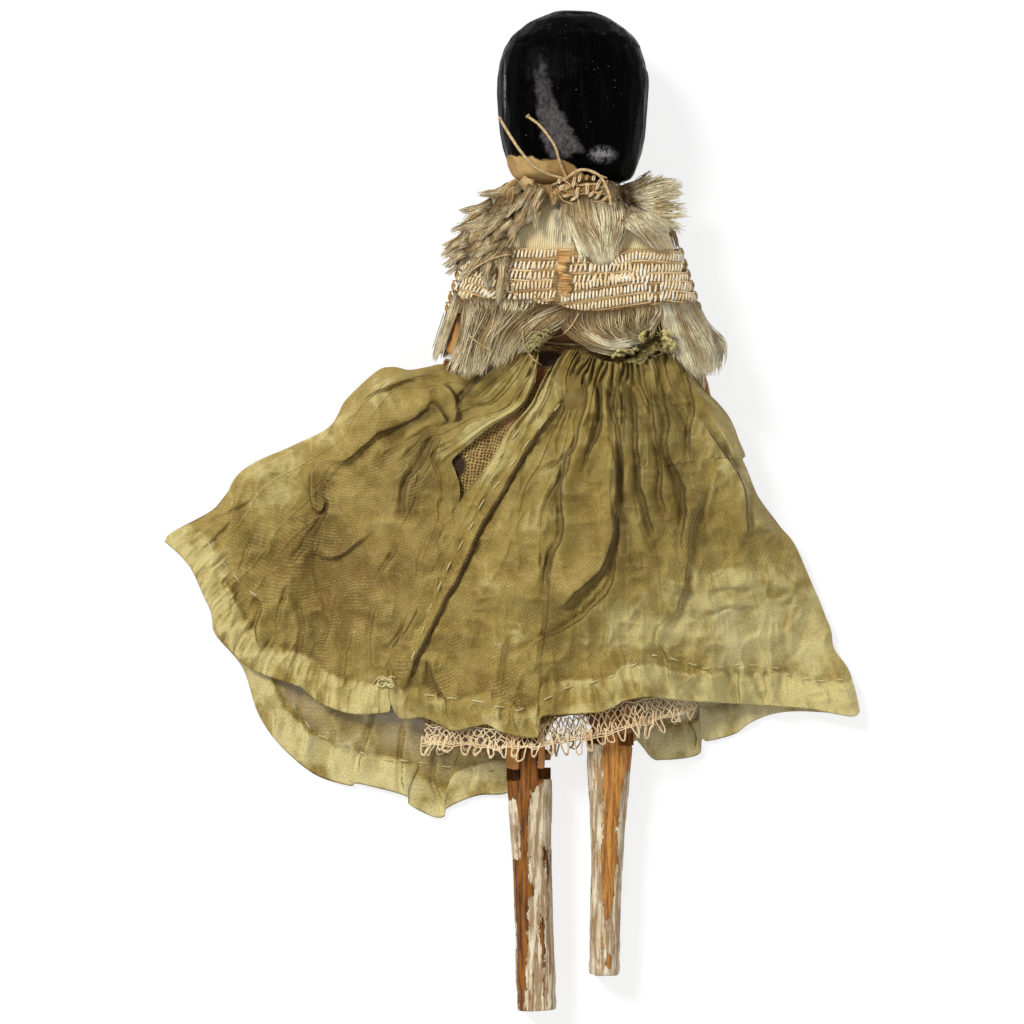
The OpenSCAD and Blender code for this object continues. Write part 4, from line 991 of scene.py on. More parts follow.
def folded(plan, base, folds, seed, gathers, wrinkle, pleats=()):
    """Lays cloth over the drape: folds along lines, crumples, and pleats down from the waist."""
    rows, columns = plan.shape[:2]
    u, v = np.meshgrid(np.linspace(0, 1, columns), np.linspace(0, 1, rows))
    n, m = Noise(seed), Noise(seed + 50)
    x0, y0 = plan[..., 0], plan[..., 1]
    x0 = x0 + 0.4 * n(x0 * 0.16, y0 * 0.16)
    x, y, height = x0.copy(), y0.copy(), np.zeros_like(u)
    dark, line = np.zeros_like(u), np.full_like(u, 9.0)
    for points, tall, wide, shade in folds:
        route, reach = from_photo(points), 3 * wide + 1
        near = np.logical_and.reduce([x0 > route[:, 0].min() - reach, x0 < route[:, 0].max() + reach,
            y0 > route[:, 1].min() - reach, y0 < route[:, 1].max() + reach])
        s, t, nx, ny = beside(x0[near], y0[near], points)
        ends = ease(t / 0.15) * ease((1 - t) / 0.25)
        s = s + 0.25 * m(x0[near] * 0.35, y0[near] * 0.35) + 0.07 * wide * m(x0[near] * 0.9,
            y0[near] * 0.9)
        crest = np.where(s > 0, np.exp(-(s / wide) ** 2), np.exp(-(s / 0.32) ** 2))
        valley = np.exp(-((s + 0.4 * wide) / (0.4 * wide)) ** 2)
        height[near] += ends * tall * (crest - 0.45 * valley)
        shove = 0.3 * tall * ends * np.exp(-(s / wide) ** 2)
        x[near] -= nx * shove
        y[near] -= ny * shove
        # Painted shade in the valley beside the fold, and a painted shadow line along its edge.
        dark[near] += 0.65 * shade * ends * valley
        line[near] = np.minimum(line[near], np.abs(s + 0.1) + 0.3 * (1 - 1.25 * shade * ends))
    soft = crease(m, x0 * 0.2 + 0.08 * y0, y0 * 0.13 + 3)
    crumple = crease(n, x0 * 0.34 + 20, y0 * 0.26) + 0.6 * crease(m, x0 * 0.7 + 8, y0 * 0.62)
    down = crease(n, u * gathers, v * 2.2)
    fade = 0.35 + 0.65 * np.exp(-(v / 0.5) ** 2)
    sharp = np.clip(1 - 9 * np.abs(n(u * gathers * 1.9 + 31, v * 2.6)), 0, 1)
    height += wrinkle * (0.4 * soft + 0.2 * crumple + 0.42 * down * fade + 0.3 * sharp * fade)
    # Painted shade in the valleys of the creases and crumples.
    dark += (0.4 * np.clip(-down, 0, 1) * fade + 0.2 * np.clip(-crumple, 0, 1)
        + 0.15 * np.clip(-soft, 0, 1))
    for first, last, count, tall in pleats:
        inside = ease((u - first) / 0.02) * ease((last - u) / 0.02)
        wave = np.sin(2 * np.pi * (count * (u - first) / (last - first) + 0.9 * m(u * 14, v * 16)))
        wave = wave * (0.75 + 0.6 * n(u * 9 + 2, v * 20)) + 0.35 * n(u * 60, v * 40)
        fade = np.exp(-(v / 0.045) ** 2) + 0.45 * np.exp(-(v / 0.2) ** 2)
        height += inside * tall * wave * fade
        # Painted shade in the slots between the gathers.
        dark += inside * np.clip(-wave - 0.1, 0, 1) * (1.7 * np.exp(-(v / 0.04) ** 2) + 0.25 * fade)
    z = base(x, y) + np.maximum(height + 0.35, -0.5)
    px, py = x0 / PX + PX_MIDDLE, PX_MIDDLE - y0 / PX
    # Tone of the cloth in slow patches, with painted highlights on the ridges of the creases and crumples,
    # and the listed places paler or darker.
    tone_and_highlight = 0.35 * m(x0 * 0.12 + 5, y0 * 0.12) + 0.3 * n(x0 * 0.33, y0 * 0.33 + 7)
    tone_and_highlight += (0.45 * np.clip(down, 0, 1) ** 2 * fade + 0.6 * sharp * fade
        + 0.3 * np.clip(crumple, 0, 1) ** 2 - 0.15)
    for (cx, cy), (rx, ry), much in WASHES:
        tone_and_highlight = tone_and_highlight + much * np.exp(-((px - cx) / rx) ** 2 - ((py - cy) / ry) ** 2)
    return np.stack([x, y, z, tone_and_highlight, np.clip(dark, 0, 1.2), 1 - line], -1)


def hem_band(grid, side, width, lift, pucker, seed, share=1.0):
    """A doubled, paler band along an edge: a small step up, puckered by its stitches."""
    away = edge_away(grid, side)
    n = Noise(seed)
    away = away + 0.35 * n(grid[..., 0] * 0.5, grid[..., 1] * 0.5)
    band = (1 - ease((away - width) / 0.7 + 0.5)) * share
    i = np.arange(grid.shape[1])[None] if side == "bottom" else np.arange(grid.shape[0])[:, None]
    wave = n(i * 0.055 + 0 * away, away * 0.2) + 0.6 * n(i * 0.2 + 0.3 * away, away * 0.4 + 3)
    near = np.exp(-((away - width) / 0.8) ** 2) * share
    spots = n(grid[..., 0] * 0.4 + 3, grid[..., 1] * 0.4)
    grid[..., 2] += band * lift + pucker * wave * (0.8 * band + 0.6 * near) - 0.14 * near
    # The doubled band is paler, with painted highlights on the raised puckers, and painted shade in their
    # valleys and along the stitched edge.
    grid[..., PALE] += band * (0.95 + 0.45 * wave + 0.5 * spots)
    grid[..., CREASE_SHADE] = (grid[..., CREASE_SHADE] * (1 - 0.75 * band) + 0.25 * near
        + 0.3 * band * np.clip(-wave - 0.1, 0, 1))
    return grid


def close_side(grid, other, side, width):
    """Brings the edge of one layer down to halfway to the other layer, as cloth that goes round."""
    g = grid if side == "left" else grid[:, ::-1]
    away = np.concatenate([np.zeros((len(g), 1)), np.cumsum(steps(g, 1), 1)], 1)
    k = ease(away / width) ** 0.5
    meet = (other(g[:, :1, 0], g[:, :1, 1]) + g[:, :1, 2]) / 2
    g[..., 2] = meet + (g[..., 2] - meet) * k
    return grid


def front_half(left, right, hem, fold_seed, hem_seed):
    """One half of the front of the skirt, which lies under the doll."""
    grid = coons(left, right, [left[0], right[0]], hem, *FRONT_GRID)
    grid = folded(grid, skirt_front_z, FRONT_FOLDS, fold_seed, 7, 0.5)
    return fold_under(hem_band(grid, "bottom", HEM_W, 0.25, 0.4, hem_seed), "bottom", HEM_W, 0.1)


def make_skirt():
    right = coons(PLACKET, RIGHT_EDGE, WAIST_RIGHT, RIGHT_HEM, *BACK_GRID)
    right = folded(right, skirt_back_z, RIGHT_FOLDS, 5, 16, 1.0,
        [(0.17, 0.72, 12, 0.8), (0.72, 1.0, 5, 0.8)])
    away = edge_away(right, "left")
    strip = ease((4.2 - away) / 0.8)
    right[..., 2] += 0.35 + 0.35 * strip
    right[..., PALE] += 0.3 * strip
    right = close_side(right, skirt_front_z, "right", 2.5)
    right = hem_band(right, "bottom", HEM_W, 0.3, 0.5, 201)
    right = fold_under(fold_under(right, "bottom", HEM_W, 0.16), "left", 3.0, 0.16)
    left = coons(LEFT_EDGE, FLAP_EDGE, LEFT_WAIST, LEFT_HEM, *BACK_GRID)
    left = folded(left, skirt_back_z, LEFT_FOLDS, 6, 7, 0.9)
    left = close_side(left, skirt_front_z, "left", 2.5)
    left = hem_band(hem_band(left, "bottom", HEM_W, 0.3, 0.45, 202), "right", 3.2, 0.35, 0.25, 203,
        ease((left[..., 1] - from_photo((0, 468))[1]) / 2))
    left = fold_under(fold_under(left, "bottom", HEM_W, 0.14), "right", 3.0, 0.14)
    grids = {"skirt_back_right": right, "skirt_back_left": left,
        "skirt_front_left": front_half(LEFT_EDGE, FRONT_MIDDLE, FRONT_LEFT_HEM, 7, 204),
        "skirt_front_right": front_half(FRONT_MIDDLE, RIGHT_EDGE, FRONT_RIGHT_HEM, 8, 205)}
    pieces = []
    for name, grid in grids.items():
        grid[..., 2] = np.maximum(grid[..., 2], ABOVE_FLOOR)
        mesh, size = sheet_mesh(name, grid)
        piece = link(name, mesh, GAUZE, replaced=("skirt",))
        pieces.append(piece)
    return pieces


def weights(piece, body, start, end, across):
    """Bends a piece from the torso to a limb, with less of the limb's turn where across says."""
    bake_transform(piece, "torso", body, start=tuple(np.array(start) * MM), end=tuple(np.array(end) * MM))
    data = piece.data.attributes["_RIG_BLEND"].data
    value, place = np.empty(len(data), np.float32), places(piece.data)
    data.foreach_get("value", value)
    data.foreach_set("value", (value * across(place[:, 0], place[:, 1])).astype(np.float32))


def near_leg(side):
    """1 over a leg, 0 at the middle line and out at the sides of the cloth."""
    hip, knee = HIPS[side], KNEES[side]
    sign = -1 if side == "left" else 1

    def across(x, y):
        leg = hip[0] + (knee[0] - hip[0]) * (hip[1] - y) / (hip[1] - knee[1])
        out = (x - leg) * sign
        return ease((out + 6.2) / 4) * ease((34 - out) / 28)
    return across


def ride_legs(piece, side):
    hip, knee = HIPS[side], KNEES[side]
    weights(piece, "thigh_" + side, (hip[0], hip[1] + 7, hip[2]), (hip[0], hip[1] - 6, hip[2]),
        near_leg(side))


back_right, back_left, front_left, front_right = make_skirt()
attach(back_right, "torso")
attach(back_left, "torso")
ride_legs(front_left, "left")
ride_legs(front_right, "right")


# Petticoat and lace
PETTI_LEFT = [(521, 344), (492, 384), (456, 424), (440, 470), (432, 560), (424, 725)]
PETTI_RIGHT = [(622, 350), (640, 420), (665, 540), (688, 640), (697, 690)]
PETTI_HEM = [(424, 725), (470, 726), (520, 728), (560, 716), (600, 708), (650, 696), (697, 690)]
LACE_EDGE = [(421, 752), (440, 752), (470, 754), (500, 755), (530, 756), (560, 752), (590, 748),
    (612, 742), (640, 735), (662, 728), (682, 722), (699, 714)]


PETTI_STEPS, PETTI_SPLIT = 120, 61
# Name, the height of what it lies on, seed, first and last column, and millimetres that it is raised
PETTI_LAYERS = [("back", petticoat_back_z, 21, 0, PETTI_STEPS, 0.0),
    ("front_left", petticoat_front_z, 22, 0, PETTI_SPLIT + 1, 0.4),
    ("front_right", petticoat_front_z, 22, PETTI_SPLIT, PETTI_STEPS, 0.4)]


def petticoat_folds(plan, base, seed, above):
    n = Noise(seed)
    rows, columns = plan.shape[:2]
    u, v = np.meshgrid(np.linspace(0, 1, columns), np.linspace(0, 1, rows))
    lift = 0.25 * np.sin(2 * np.pi * 9 * u + 2 * n(u * 5, v * 3)) * ease(v * 4) + 0.2 * n(u * 20, v * 12)
    z = base(plan[..., 0], plan[..., 1]) + np.maximum(lift, -0.15) + above
    return np.concatenate([plan, z[..., None]], -1)


def make_petticoat():
    made = []
    for where, base, seed, first, last, raised in PETTI_LAYERS:
        plan = coons(PETTI_LEFT, PETTI_RIGHT, [PETTI_LEFT[0], PETTI_RIGHT[0]], PETTI_HEM, PETTI_STEPS,
            PETTI_STEPS)
        grid = petticoat_folds(plan, base, seed, raised)[:, first:last]
        mesh, size = sheet_mesh("petticoat_sheet_" + where, grid)
        piece = link("petticoat_sheet_" + where, mesh, WEAVE,
            replaced=("petticoat",))
        made.append(piece)
    return made


petti_back, petti_front_left, petti_front_right = make_petticoat()
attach(petti_back, "torso")
ride_legs(petti_front_left, "left")
ride_legs(petti_front_right, "right")


def make_lace_material():
    made, s = material("cream_lace_cotton")
    place = object_place(s)
    fleck = s.noise(place, 2000)
    dirt = s.noise(place, 160, 4)
    colour = s.mix(s.ramp(fleck, 0.3, 0.7), srgb(232, 202, 152), srgb(252, 232, 190))
    colour = s.mix(s.ramp(dirt, 0.45, 0.7, 0, 0.5), colour, srgb(186, 148, 98))
    finish_material(s, colour, bump=fleck, bump_mm=0.06, Roughness=0.85)
    return made


LACE = make_lace_material()


def make_lace(where, base, seed, first=0.0, last=1.0):
    """An open net of fine thread with long hanging picots, uneven as old hand-made lace is."""
    share = last - first
    rng = np.random.default_rng(seed)
    n = Noise(seed)
    top, low = resample(from_photo(PETTI_HEM), 200), resample(from_photo(LACE_EDGE), 200)

    def lay(s, h, lift):
        s = first + share * s
        t = np.clip(s, 0, 1) * 199
        a, b = (np.stack([np.interp(t, np.arange(200), line[:, k]) for k in (0, 1)], -1)
            for line in (top, low))
        p = a + (b - a) * h[..., None]
        x = p[:, 0] + 0.25 * n(s * 45, h * 4 + 3) + 0.08 * n(s * 160, h * 9 + 3)
        y = p[:, 1] + 0.35 * n(s * 30 + 9, h * 4)
        return np.stack([x, y, base(x, y) + 0.25 + lift + 0.2 * n(s * 25, h * 3 + 11)], -1)

    s = np.linspace(0, 1, 260)
    threads = [lay(s, np.full(260, h), lift) for h, lift in ((0.02, 0), (0.66, 0.08), (0.72, 0.14))]
    for k in range(2):
        low_h, high_h = 0.06 + 0.3 * k, 0.1 + 0.3 * (k + 1)
        for phase in (0, 0.5):
            wave = 2 * np.abs((s * 23 * share + phase + 0.3 * k + 0.25 * n(s * 18, k)) % 1 - 0.5)
            threads.append(lay(s, low_h + (high_h - low_h) * wave, 0.08 * (phase > 0)))
    net = thread_piece("lace_net_" + where, threads, 0.09, LACE, "cream_lace", ("petticoat_lace",),
        tones=rng.random(len(threads)))
    loops = []
    picots = round(23 * share)
    for i in range(picots):
        s0 = (i + 0.5 + rng.uniform(-0.3, 0.3)) / picots
        long, lean = rng.uniform(0.42, 0.68), rng.uniform(-0.5, 0.5) / picots
        half = rng.uniform(0.13, 0.22) / picots
        for turn in range(rng.integers(1, 3)):
            a = np.linspace(0, 1, 18)
            bend = np.pi * np.clip((a - 0.3) / 0.4, 0, 1)
            hang = np.minimum(np.minimum(a, 1 - a) / 0.3, 1) * 0.75 + 0.25 * np.sin(bend)
            wide = -half * (1 + 0.3 * turn) * np.cos(bend) * (1 + 0.8 * (1 - hang))
            loops.append(lay(s0 + wide + lean * hang, 0.5 + long * hang - 0.05 * turn, 0.12 + 0.1 * turn))
    for _ in range(8):
        a = np.linspace(0, 1, 18)
        s0, h0 = rng.uniform(0, 1), rng.uniform(0.45, 0.75)
        loops.append(lay(s0 + rng.uniform(-0.03, 0.03) * a, h0 + rng.uniform(-0.25, 0.15) * np.sin(a * 5),
            0.15))
    return net, thread_piece("lace_loops_" + where, loops, 0.11, LACE, "cream_lace", ("petticoat_lace",),
        tones=rng.random(len(loops)), taper=False)


for piece in make_lace("back", petticoat_back_z, 31):
    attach(piece, "torso")
for piece in make_lace("front_left", petticoat_front_z, 32, 0.0, 0.51):
    ride_legs(piece, "left")
for piece in make_lace("front_right", petticoat_front_z, 33, 0.51, 1.0):
    ride_legs(piece, "right")


# Cape, braid and floss
def make_ribbed_silk():
    """Ribs on the left of the back, smoother satin on the right, and a tan ground under the braid."""
    made, s = material("ribbed_silk")
    place = object_place(s)
    flat = s.cloth()
    axes = s.axes(place)
    ribs = s.bands(flat, 0.3, "X", 0.5)
    soft = s.noise(place, 260, 4)
    fine = s.noise(place, 1800, 3, 0.6, (2.5, 0.3, 1))
    strong = s.ramp(axes[0], 6.5 * MM, 9 * MM, 0.65, 0.2)
    colour = s.mix(s.ramp(soft, 0.35, 0.7), srgb(255, 242, 194), srgb(246, 218, 160))
    colour = s.mix(s.times(s.ramp(ribs, 0.55, 0.15), strong), colour, srgb(184, 154, 106))
    colour = s.mix(s.ramp(fine, 0.5, 0.7, 0, 0.35), colour, srgb(244, 230, 196))
    frayed = s.times(s.ramp(s.oval(axes, 6.8, 40.2, 1.2, 3.6), 1.15, 0.7), s.ramp(fine, 0.35, 0.6))
    colour = s.mix(frayed, colour, srgb(168, 156, 136))
    ground = s.mix(s.ramp(fine, 0.4, 0.6), srgb(232, 202, 148), srgb(200, 166, 110))
    ground = s.mix(s.ramp(s.bands(flat, 0.42, "Y", 1.5), 0.6, 0.15, 0, 0.55), ground, srgb(160, 126, 74))
    colour = s.mix(s.ramp(axes[1], 36.9 * MM, 36.4 * MM), colour, ground)
    finish_material(s, colour, bump=s.plus(fine, ribs), bump_mm=0.05, Roughness=0.45,
        Specular_IOR_Level=0.3)
    return made


def make_strands(name, low, mid, high, rough):
    """Loose silk: each strand has its own tone, with painted shade at the root and a painted highlight
    towards the tip.
    """
    made, s = material(name)
    tone = s.kept("tone")
    along = s.kept("along")
    soft = s.noise(object_place(s), 330, 3)
    colour = s.mix(s.ramp(tone, 0, 0.6), low, mid)
    colour = s.mix(s.ramp(tone, 0.5, 1), colour, high)
    colour = s.mix(s.ramp(soft, 0.42, 0.68, 0, 0.45), colour, low)
    # Painted shade at the root and a painted highlight towards the tip.
    colour = s.mix(s.ramp(along, 0.35, 0, 0, 0.75), colour, low)
    colour = s.mix(s.ramp(along, 0.5, 1, 0, 0.4), colour, high)
    finish_material(s, colour, bump=soft, bump_mm=0.03, Roughness=rough, Specular_IOR_Level=0.35)
    return made


RIBBED = make_ribbed_silk()
FLOSS = make_strands("silk_floss", srgb(92, 68, 32), srgb(192, 164, 112), srgb(255, 248, 214), 0.42)
GREY_FLOSS = make_strands("grey_silk_floss", srgb(146, 124, 88), srgb(184, 164, 130), srgb(226, 212, 184),
    0.5)
TAN_FLOSS = make_strands("tan_floss", srgb(134, 100, 56), srgb(198, 164, 106), srgb(224, 198, 152), 0.6)
GIMP = make_strands("gimp_loops", srgb(228, 198, 144), srgb(255, 240, 200), srgb(255, 255, 244), 0.35)
GIMP_CORD = make_strands("gimp_cord", srgb(166, 130, 78), srgb(214, 180, 124), srgb(240, 212, 162), 0.6)
NECK_GIMP = make_strands("neck_gimp", srgb(190, 150, 94), srgb(240, 212, 164), srgb(255, 244, 214), 0.45)
TAB_CORD = make_strands("tab_cord", srgb(176, 122, 60), srgb(228, 180, 110), srgb(246, 214, 154), 0.6)


def ring_place(angle, y, grow):
    half, deep, middle = wrap_row(y)
    c, s = np.cos(angle), np.sin(angle)
    return np.stack([MID_X + (half + grow) * np.sign(c) * np.abs(c) ** (2 / WRAP_POWER), y + 0 * angle,
        middle + (deep + grow) * np.sign(s) * np.abs(s) ** (2 / WRAP_POWER)], -1)


def to_arm(piece, side):
    sign = -1 if side == "left" else 1
    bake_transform(piece, "torso", "upper_arm_" + side,
        start=((MID_X + sign * 5.5) * MM, SHOULDER_Y * MM, BODY_Z * MM),
        end=((MID_X + sign * 10) * MM, SHOULDER_Y * MM, BODY_Z * MM))


def half_angles(side, count):
    """Angles round the body from the middle of the back to the middle of the front, on one side."""
    a = np.linspace(np.pi / 2, -np.pi / 2, count)
    return np.pi - a if side == "left" else a


def make_cape():
    for side in SIDES:
        y = np.linspace(CAPE_TOP, CAPE_LOW, 60)
        a = half_angles(side, 520)
        steps_round = np.linalg.norm(np.diff(ring_place(a, 33.0, 0), axis=0), axis=1)
        even = np.cumsum(np.concatenate([[0], steps_round]))
        a = np.interp(np.linspace(0, even[-1], 520), even, a)
        n = Noise(44)
        grid = np.stack([ring_place(a, yy, 0.3 + 0.22 * n(a * 5, yy * 0.5)) for yy in y])
        mesh, size = sheet_mesh("cape_silk_" + side, grid)
        piece = link("cape_silk_" + side, mesh, RIBBED, replaced=("silk_cape",))
        to_arm(piece, side)


make_cape()

# Rows of braid on the back, from the photograph, each from its left to its right end
BACK_ROWS = [[(463, 251), (481, 252)], [(459, 261), (477, 263)], [(477, 275), (494, 279)],
    [(461, 279), (494, 285)], [(463, 286), (493, 296)], [(461, 296), (472, 298)],
    [(518, 256), (555, 255)], [(534, 267), (556, 266)], [(504, 275), (528, 277)],
    [(513, 288), (550, 285)], [(516, 298), (553, 296)], [(522, 305), (546, 305)],
    [(570, 270), (589, 269)], [(594, 279), (610, 277)], [(612, 266), (625, 259), (642, 257),
    (680, 259)], [(629, 270), (678, 269)], [(646, 279), (684, 279)], [(660, 286), (688, 288)],
    [(660, 296), (692, 299)], [(575, 288), (629, 279)], [(561, 300), (644, 288)],
    [(560, 312), (650, 298)], [(478, 303), (506, 308)], [(505, 255), (518, 256)],
    [(503, 266), (532, 267)], [(530, 277), (552, 276)], [(498, 288), (512, 288)],
    [(499, 298), (514, 299)], [(572, 261), (584, 261)], [(590, 270), (628, 268)],
    [(612, 279), (643, 274)], [(574, 280), (592, 280)], [(632, 281), (645, 280)],
    [(648, 291), (659, 289)], [(648, 301), (659, 299)], [(463, 268), (476, 270)],
    [(484, 292), (496, 303)]]
LOOP_PITCH = 0.46
LOOP_TALL = 0.6
FRONT_LEVELS = [28.6, 30.1, 31.6, 33.1, 34.6, 36.1]


def row_surface(path, up, grow=BRAID_OVER):
    return np.stack([path[:, 0], path[:, 1], on_wrap(path[:, 0], path[:, 1], grow, up)], -1)


def add_row(path, up, loops, cords, rng, pitch=LOOP_PITCH, tall=LOOP_TALL, wide=0.08, messy=1.0):
    """Upright satin loops side by side along a row, over a pair of tan cords."""
    length = np.linalg.norm(np.diff(path, axis=0), axis=1).sum()
    count = max(3, int(length / pitch))
    spots = resample(path, count)
    along = unit(np.gradient(spots, axis=0))
    normal = np.tile([0.0, 0.0, float(up)], (count, 1))
    normal = unit(normal - (normal * along).sum(-1, keepdims=True) * along)
    upright = np.cross(normal, along)
    a = np.linspace(0, 2 * np.pi, 10, endpoint=False)
    for k in range(count):
        high = tall * rng.uniform(1 - 0.14 * messy, 1 + 0.14 * messy)
        lean = 0.13 + rng.uniform(-0.1, 0.1) * messy
        ring = (spots[k] + np.outer(np.cos(a) * wide + lean * np.sin(a), along[k])
            + np.outer(np.sin(a) * high + rng.normal(0, 0.05 * messy), upright[k])
            + np.outer(0.2 + 0.14 * np.cos(2 * a) + rng.uniform(0, 0.08 * messy), normal[k]))
        loops.append(ring)
    for shift in (-0.74, 0.7):
        cords.append(resample(spots + upright * shift * tall / LOOP_TALL + normal * 0.12, 40))


def make_braid():
    for side in SIDES:
        rng = np.random.default_rng(51 + (side == "right"))
        loops, cords = [], []
        for row in BACK_ROWS:
            path = smooth_path(from_photo(row), 30)
            if (path[:, 0].mean() < MID_X) == (side == "left"):
                add_row(row_surface(path, 1), 1, loops, cords, rng)
        for y in FRONT_LEVELS:
            ring = ring_place(half_angles(side, 80), y, BRAID_OVER)
            front = ring[ring[:, 2] < wrap_row(y)[2] + 2.5]
            add_row(resample(front, 60), -1, loops, cords, rng)
        to_arm(thread_piece("gimp_loops_" + side, loops, 0.085, GIMP, "gimp_braid", ("braid_band",),
            closed=True, tones=rng.uniform(0.3, 1, len(loops))), side)
        to_arm(thread_piece("gimp_cords_" + side, cords, 0.13, GIMP_CORD, "gimp_braid", ("braid_band",),
            tones=rng.random(len(cords))), side)


# Rows of loops at the neck, in pixels of the photograph, with their pitch and half height
NECK_GIMP_ROWS = [([(573, 183), (588, 180), (604, 185)], 0.9, 0.62),
    ([(560, 192), (564, 199), (573, 202)], 0.85, 0.5), ([(590, 199), (604, 200)], 0.9, 0.5),
    ([(558, 184), (567, 190)], 0.9, 0.5), ([(576, 192), (596, 190)], 1.0, 0.5)]


def make_neck_gimp():
    """Larger, looser loops of the same gimp under the knot at the neck."""
    rng = np.random.default_rng(55)
    loops, cords = [], []
    for row, pitch, tall in NECK_GIMP_ROWS:
        add_row(row_surface(smooth_path(from_photo(row), 20), 1, NECK_GIMP_OVER), 1, loops, cords, rng,
            pitch * 0.75, tall, 0.15, 3.5)
    thread_piece("neck_gimp_loops", loops, 0.1, NECK_GIMP, "gimp_braid", ("floss_collar",), "torso", 6,
        closed=True, tones=rng.uniform(0.0, 0.8, len(loops)))
    thread_piece("neck_gimp_cords", cords, 0.11, TAN_FLOSS, "gimp_braid", ("floss_collar",), "torso", 6,
        tones=rng.random(len(cords)))


make_braid()
make_neck_gimp()


def make_tab():
    rng = np.random.default_rng(61)
    threads = []
    for k in range(40):
        py = 251 + 45 * k / 39
        narrow, shift = (0, 0) if k < 11 else (2.5 + 1.5 * np.sin(k * 0.7), -3 if k < 22 else 2)
        ends = from_photo([(556 + narrow + shift + rng.uniform(-0.8, 0.8), py + rng.uniform(-0.5, 0.5)),
                           (570 - narrow + shift + rng.uniform(-1, 1), py + rng.uniform(-1.2, 1.5))])
        path = resample(ends, 8)
        z = (on_wrap(path[:, 0], path[:, 1], 1.75, 1) + 0.2 * np.sin(np.linspace(0, np.pi, 8))
            + rng.uniform(0, 0.15))
        threads.append(np.column_stack([path, z]))
    thread_piece("braid_tab_threads", threads, 0.12, TAB_CORD, "tan_braid", ("braid_tab",), "torso",
        tones=rng.random(len(threads)))


make_tab()


def floss(guides, count, spread, grow, seed, lift=0.4, points=14, wave=0.25, up=1, reach=(0.75, 1.05),
    bright=0.0):
    """Strands that follow guide lines given as pixels of the photograph. Each strand runs between two
    neighbouring guides, so the guides are in order from one side of the tuft to the other."""
    rng = np.random.default_rng(seed)
    lines = np.stack([smooth_path(from_photo(g), points) for g in guides])
    last = len(lines) - 1
    s = np.linspace(0, 1, points)
    strands, tones = [], []
    for _ in range(max(3, count // 12)):
        core = rng.uniform(0, last)
        swing, pace, phase = rng.uniform(0.3, 1) * wave, rng.uniform(2, 6), rng.uniform(0, 6)
        long, high, tone = rng.uniform(*reach), rng.uniform(0, 1), rng.uniform(0, 0.6)
        for _ in range(12):
            root = np.clip(core + rng.normal(0, 0.22), 0, last)
            t = np.clip(core + (root - core) * (1 - 0.75 * s ** 1.2), 0, last)
            k = np.minimum(t.astype(int), last - 1)
            i = np.arange(points)
            path = lines[k, i] + (lines[k + 1, i] - lines[k, i]) * (t - k)[:, None]
            keep = min(1.0, long * rng.uniform(0.85, 1.1))
            path = resample(resample(path, points * 3)[:max(6, int(points * 3 * keep))], points)
            side = unit(np.stack([-np.gradient(path[:, 1]), np.gradient(path[:, 0])], -1))
            drift = rng.normal(0, spread) * (0.3 + 0.7 * s) + swing * np.sin(s * pace + phase
                + rng.normal(0, 0.3)) * s
            drift += rng.normal(0, 0.12) * np.sin(s * 9 + rng.uniform(0, 6)) * s
            path = path + side * drift[:, None]
            raised = 0.75 * high + 0.35 * rng.uniform(0, 1)
            up_by = 0.12 + lift * raised * np.sin(np.pi * (0.12 + 0.88 * s) ** 0.9)
            z = on_wrap(path[:, 0], path[:, 1], grow, up) + up * up_by
            strands.append(np.column_stack([path, z]))
            # Clumps that lie higher are painted paler, as a painted highlight.
            tones.append(np.clip(tone * (0.7 + 0.5 * high) + bright + rng.uniform(0, 0.4), 0, 1))
    return np.array(strands), np.array(tones)


def tuft(root, tip, wide, count, grow, rng, bright=0.0, lift=0.7):
    """A small brush of strands from root to tip, pixels of the photograph, drawn in to a ragged point."""
    s = np.linspace(0, 1, 14)
    a, b = from_photo([root, tip])
    way = b - a
    side = unit(np.array([-way[1], way[0]]))
    across = rng.uniform(-1, 1, (count, 1))
    keep = rng.uniform(0.55, 1.06, (count, 1))
    drawn = across * wide * PX * (1 - 0.5 * s ** 1.6)
    drawn = (drawn + rng.uniform(-0.5, 0.5) * np.sin(np.pi * s)
        + rng.normal(0, 0.09, (count, 1)) * np.sin(s * 7))
    path = a + (s * keep)[..., None] * way + drawn[..., None] * side
    high = rng.uniform(0, 1, (count, 1)) * (1 - 0.4 * across ** 2)
    z = (on_wrap(path[..., 0], path[..., 1], grow) + 0.1
        + lift * (0.35 + 0.65 * high) * np.sin(np.pi * (0.08 + 0.9 * s) ** 0.8))
    # Strands that stand higher are painted paler, as a painted highlight, and the lower ones at the edges of
    # the tuft darker, as painted shade.
    tone = np.clip(rng.uniform(0, 0.3) + bright + 0.55 * high[:, 0] ** 2 + rng.uniform(-0.2, 0.2, count),
        0, 1)
    stray = rng.normal(0, 1, (count, 1)) * (np.abs(rng.normal(0, 1, (count, 1))) > 1.1)
    path = path + (0.16 * stray * s ** 2)[..., None] * side
    return np.concatenate([path, z[..., None]], -1), tone


# Tufts on the left shoulder: root and tip in pixels of the photograph, and half width in pixels
LEFT_LOCKS = [((508, 190), (477, 194), 4), ((492, 202), (460, 212), 5), ((482, 216), (451, 231), 5),
    ((468, 232), (442, 247), 5), ((468, 244), (442, 257), 5), ((466, 254), (446, 268), 4),
    ((486, 210), (464, 222), 4), ((500, 256), (496, 309), 4), ((490, 262), (486, 290), 3),
    ((508, 250), (500, 284), 3.5)]
LEFT_UNDER_LAYER = [((524, 194), (492, 203), 9), ((516, 200), (488, 216), 9), ((504, 210), (474, 228), 9),
    ((532, 196), (512, 214), 8), ((490, 224), (464, 242), 9)]


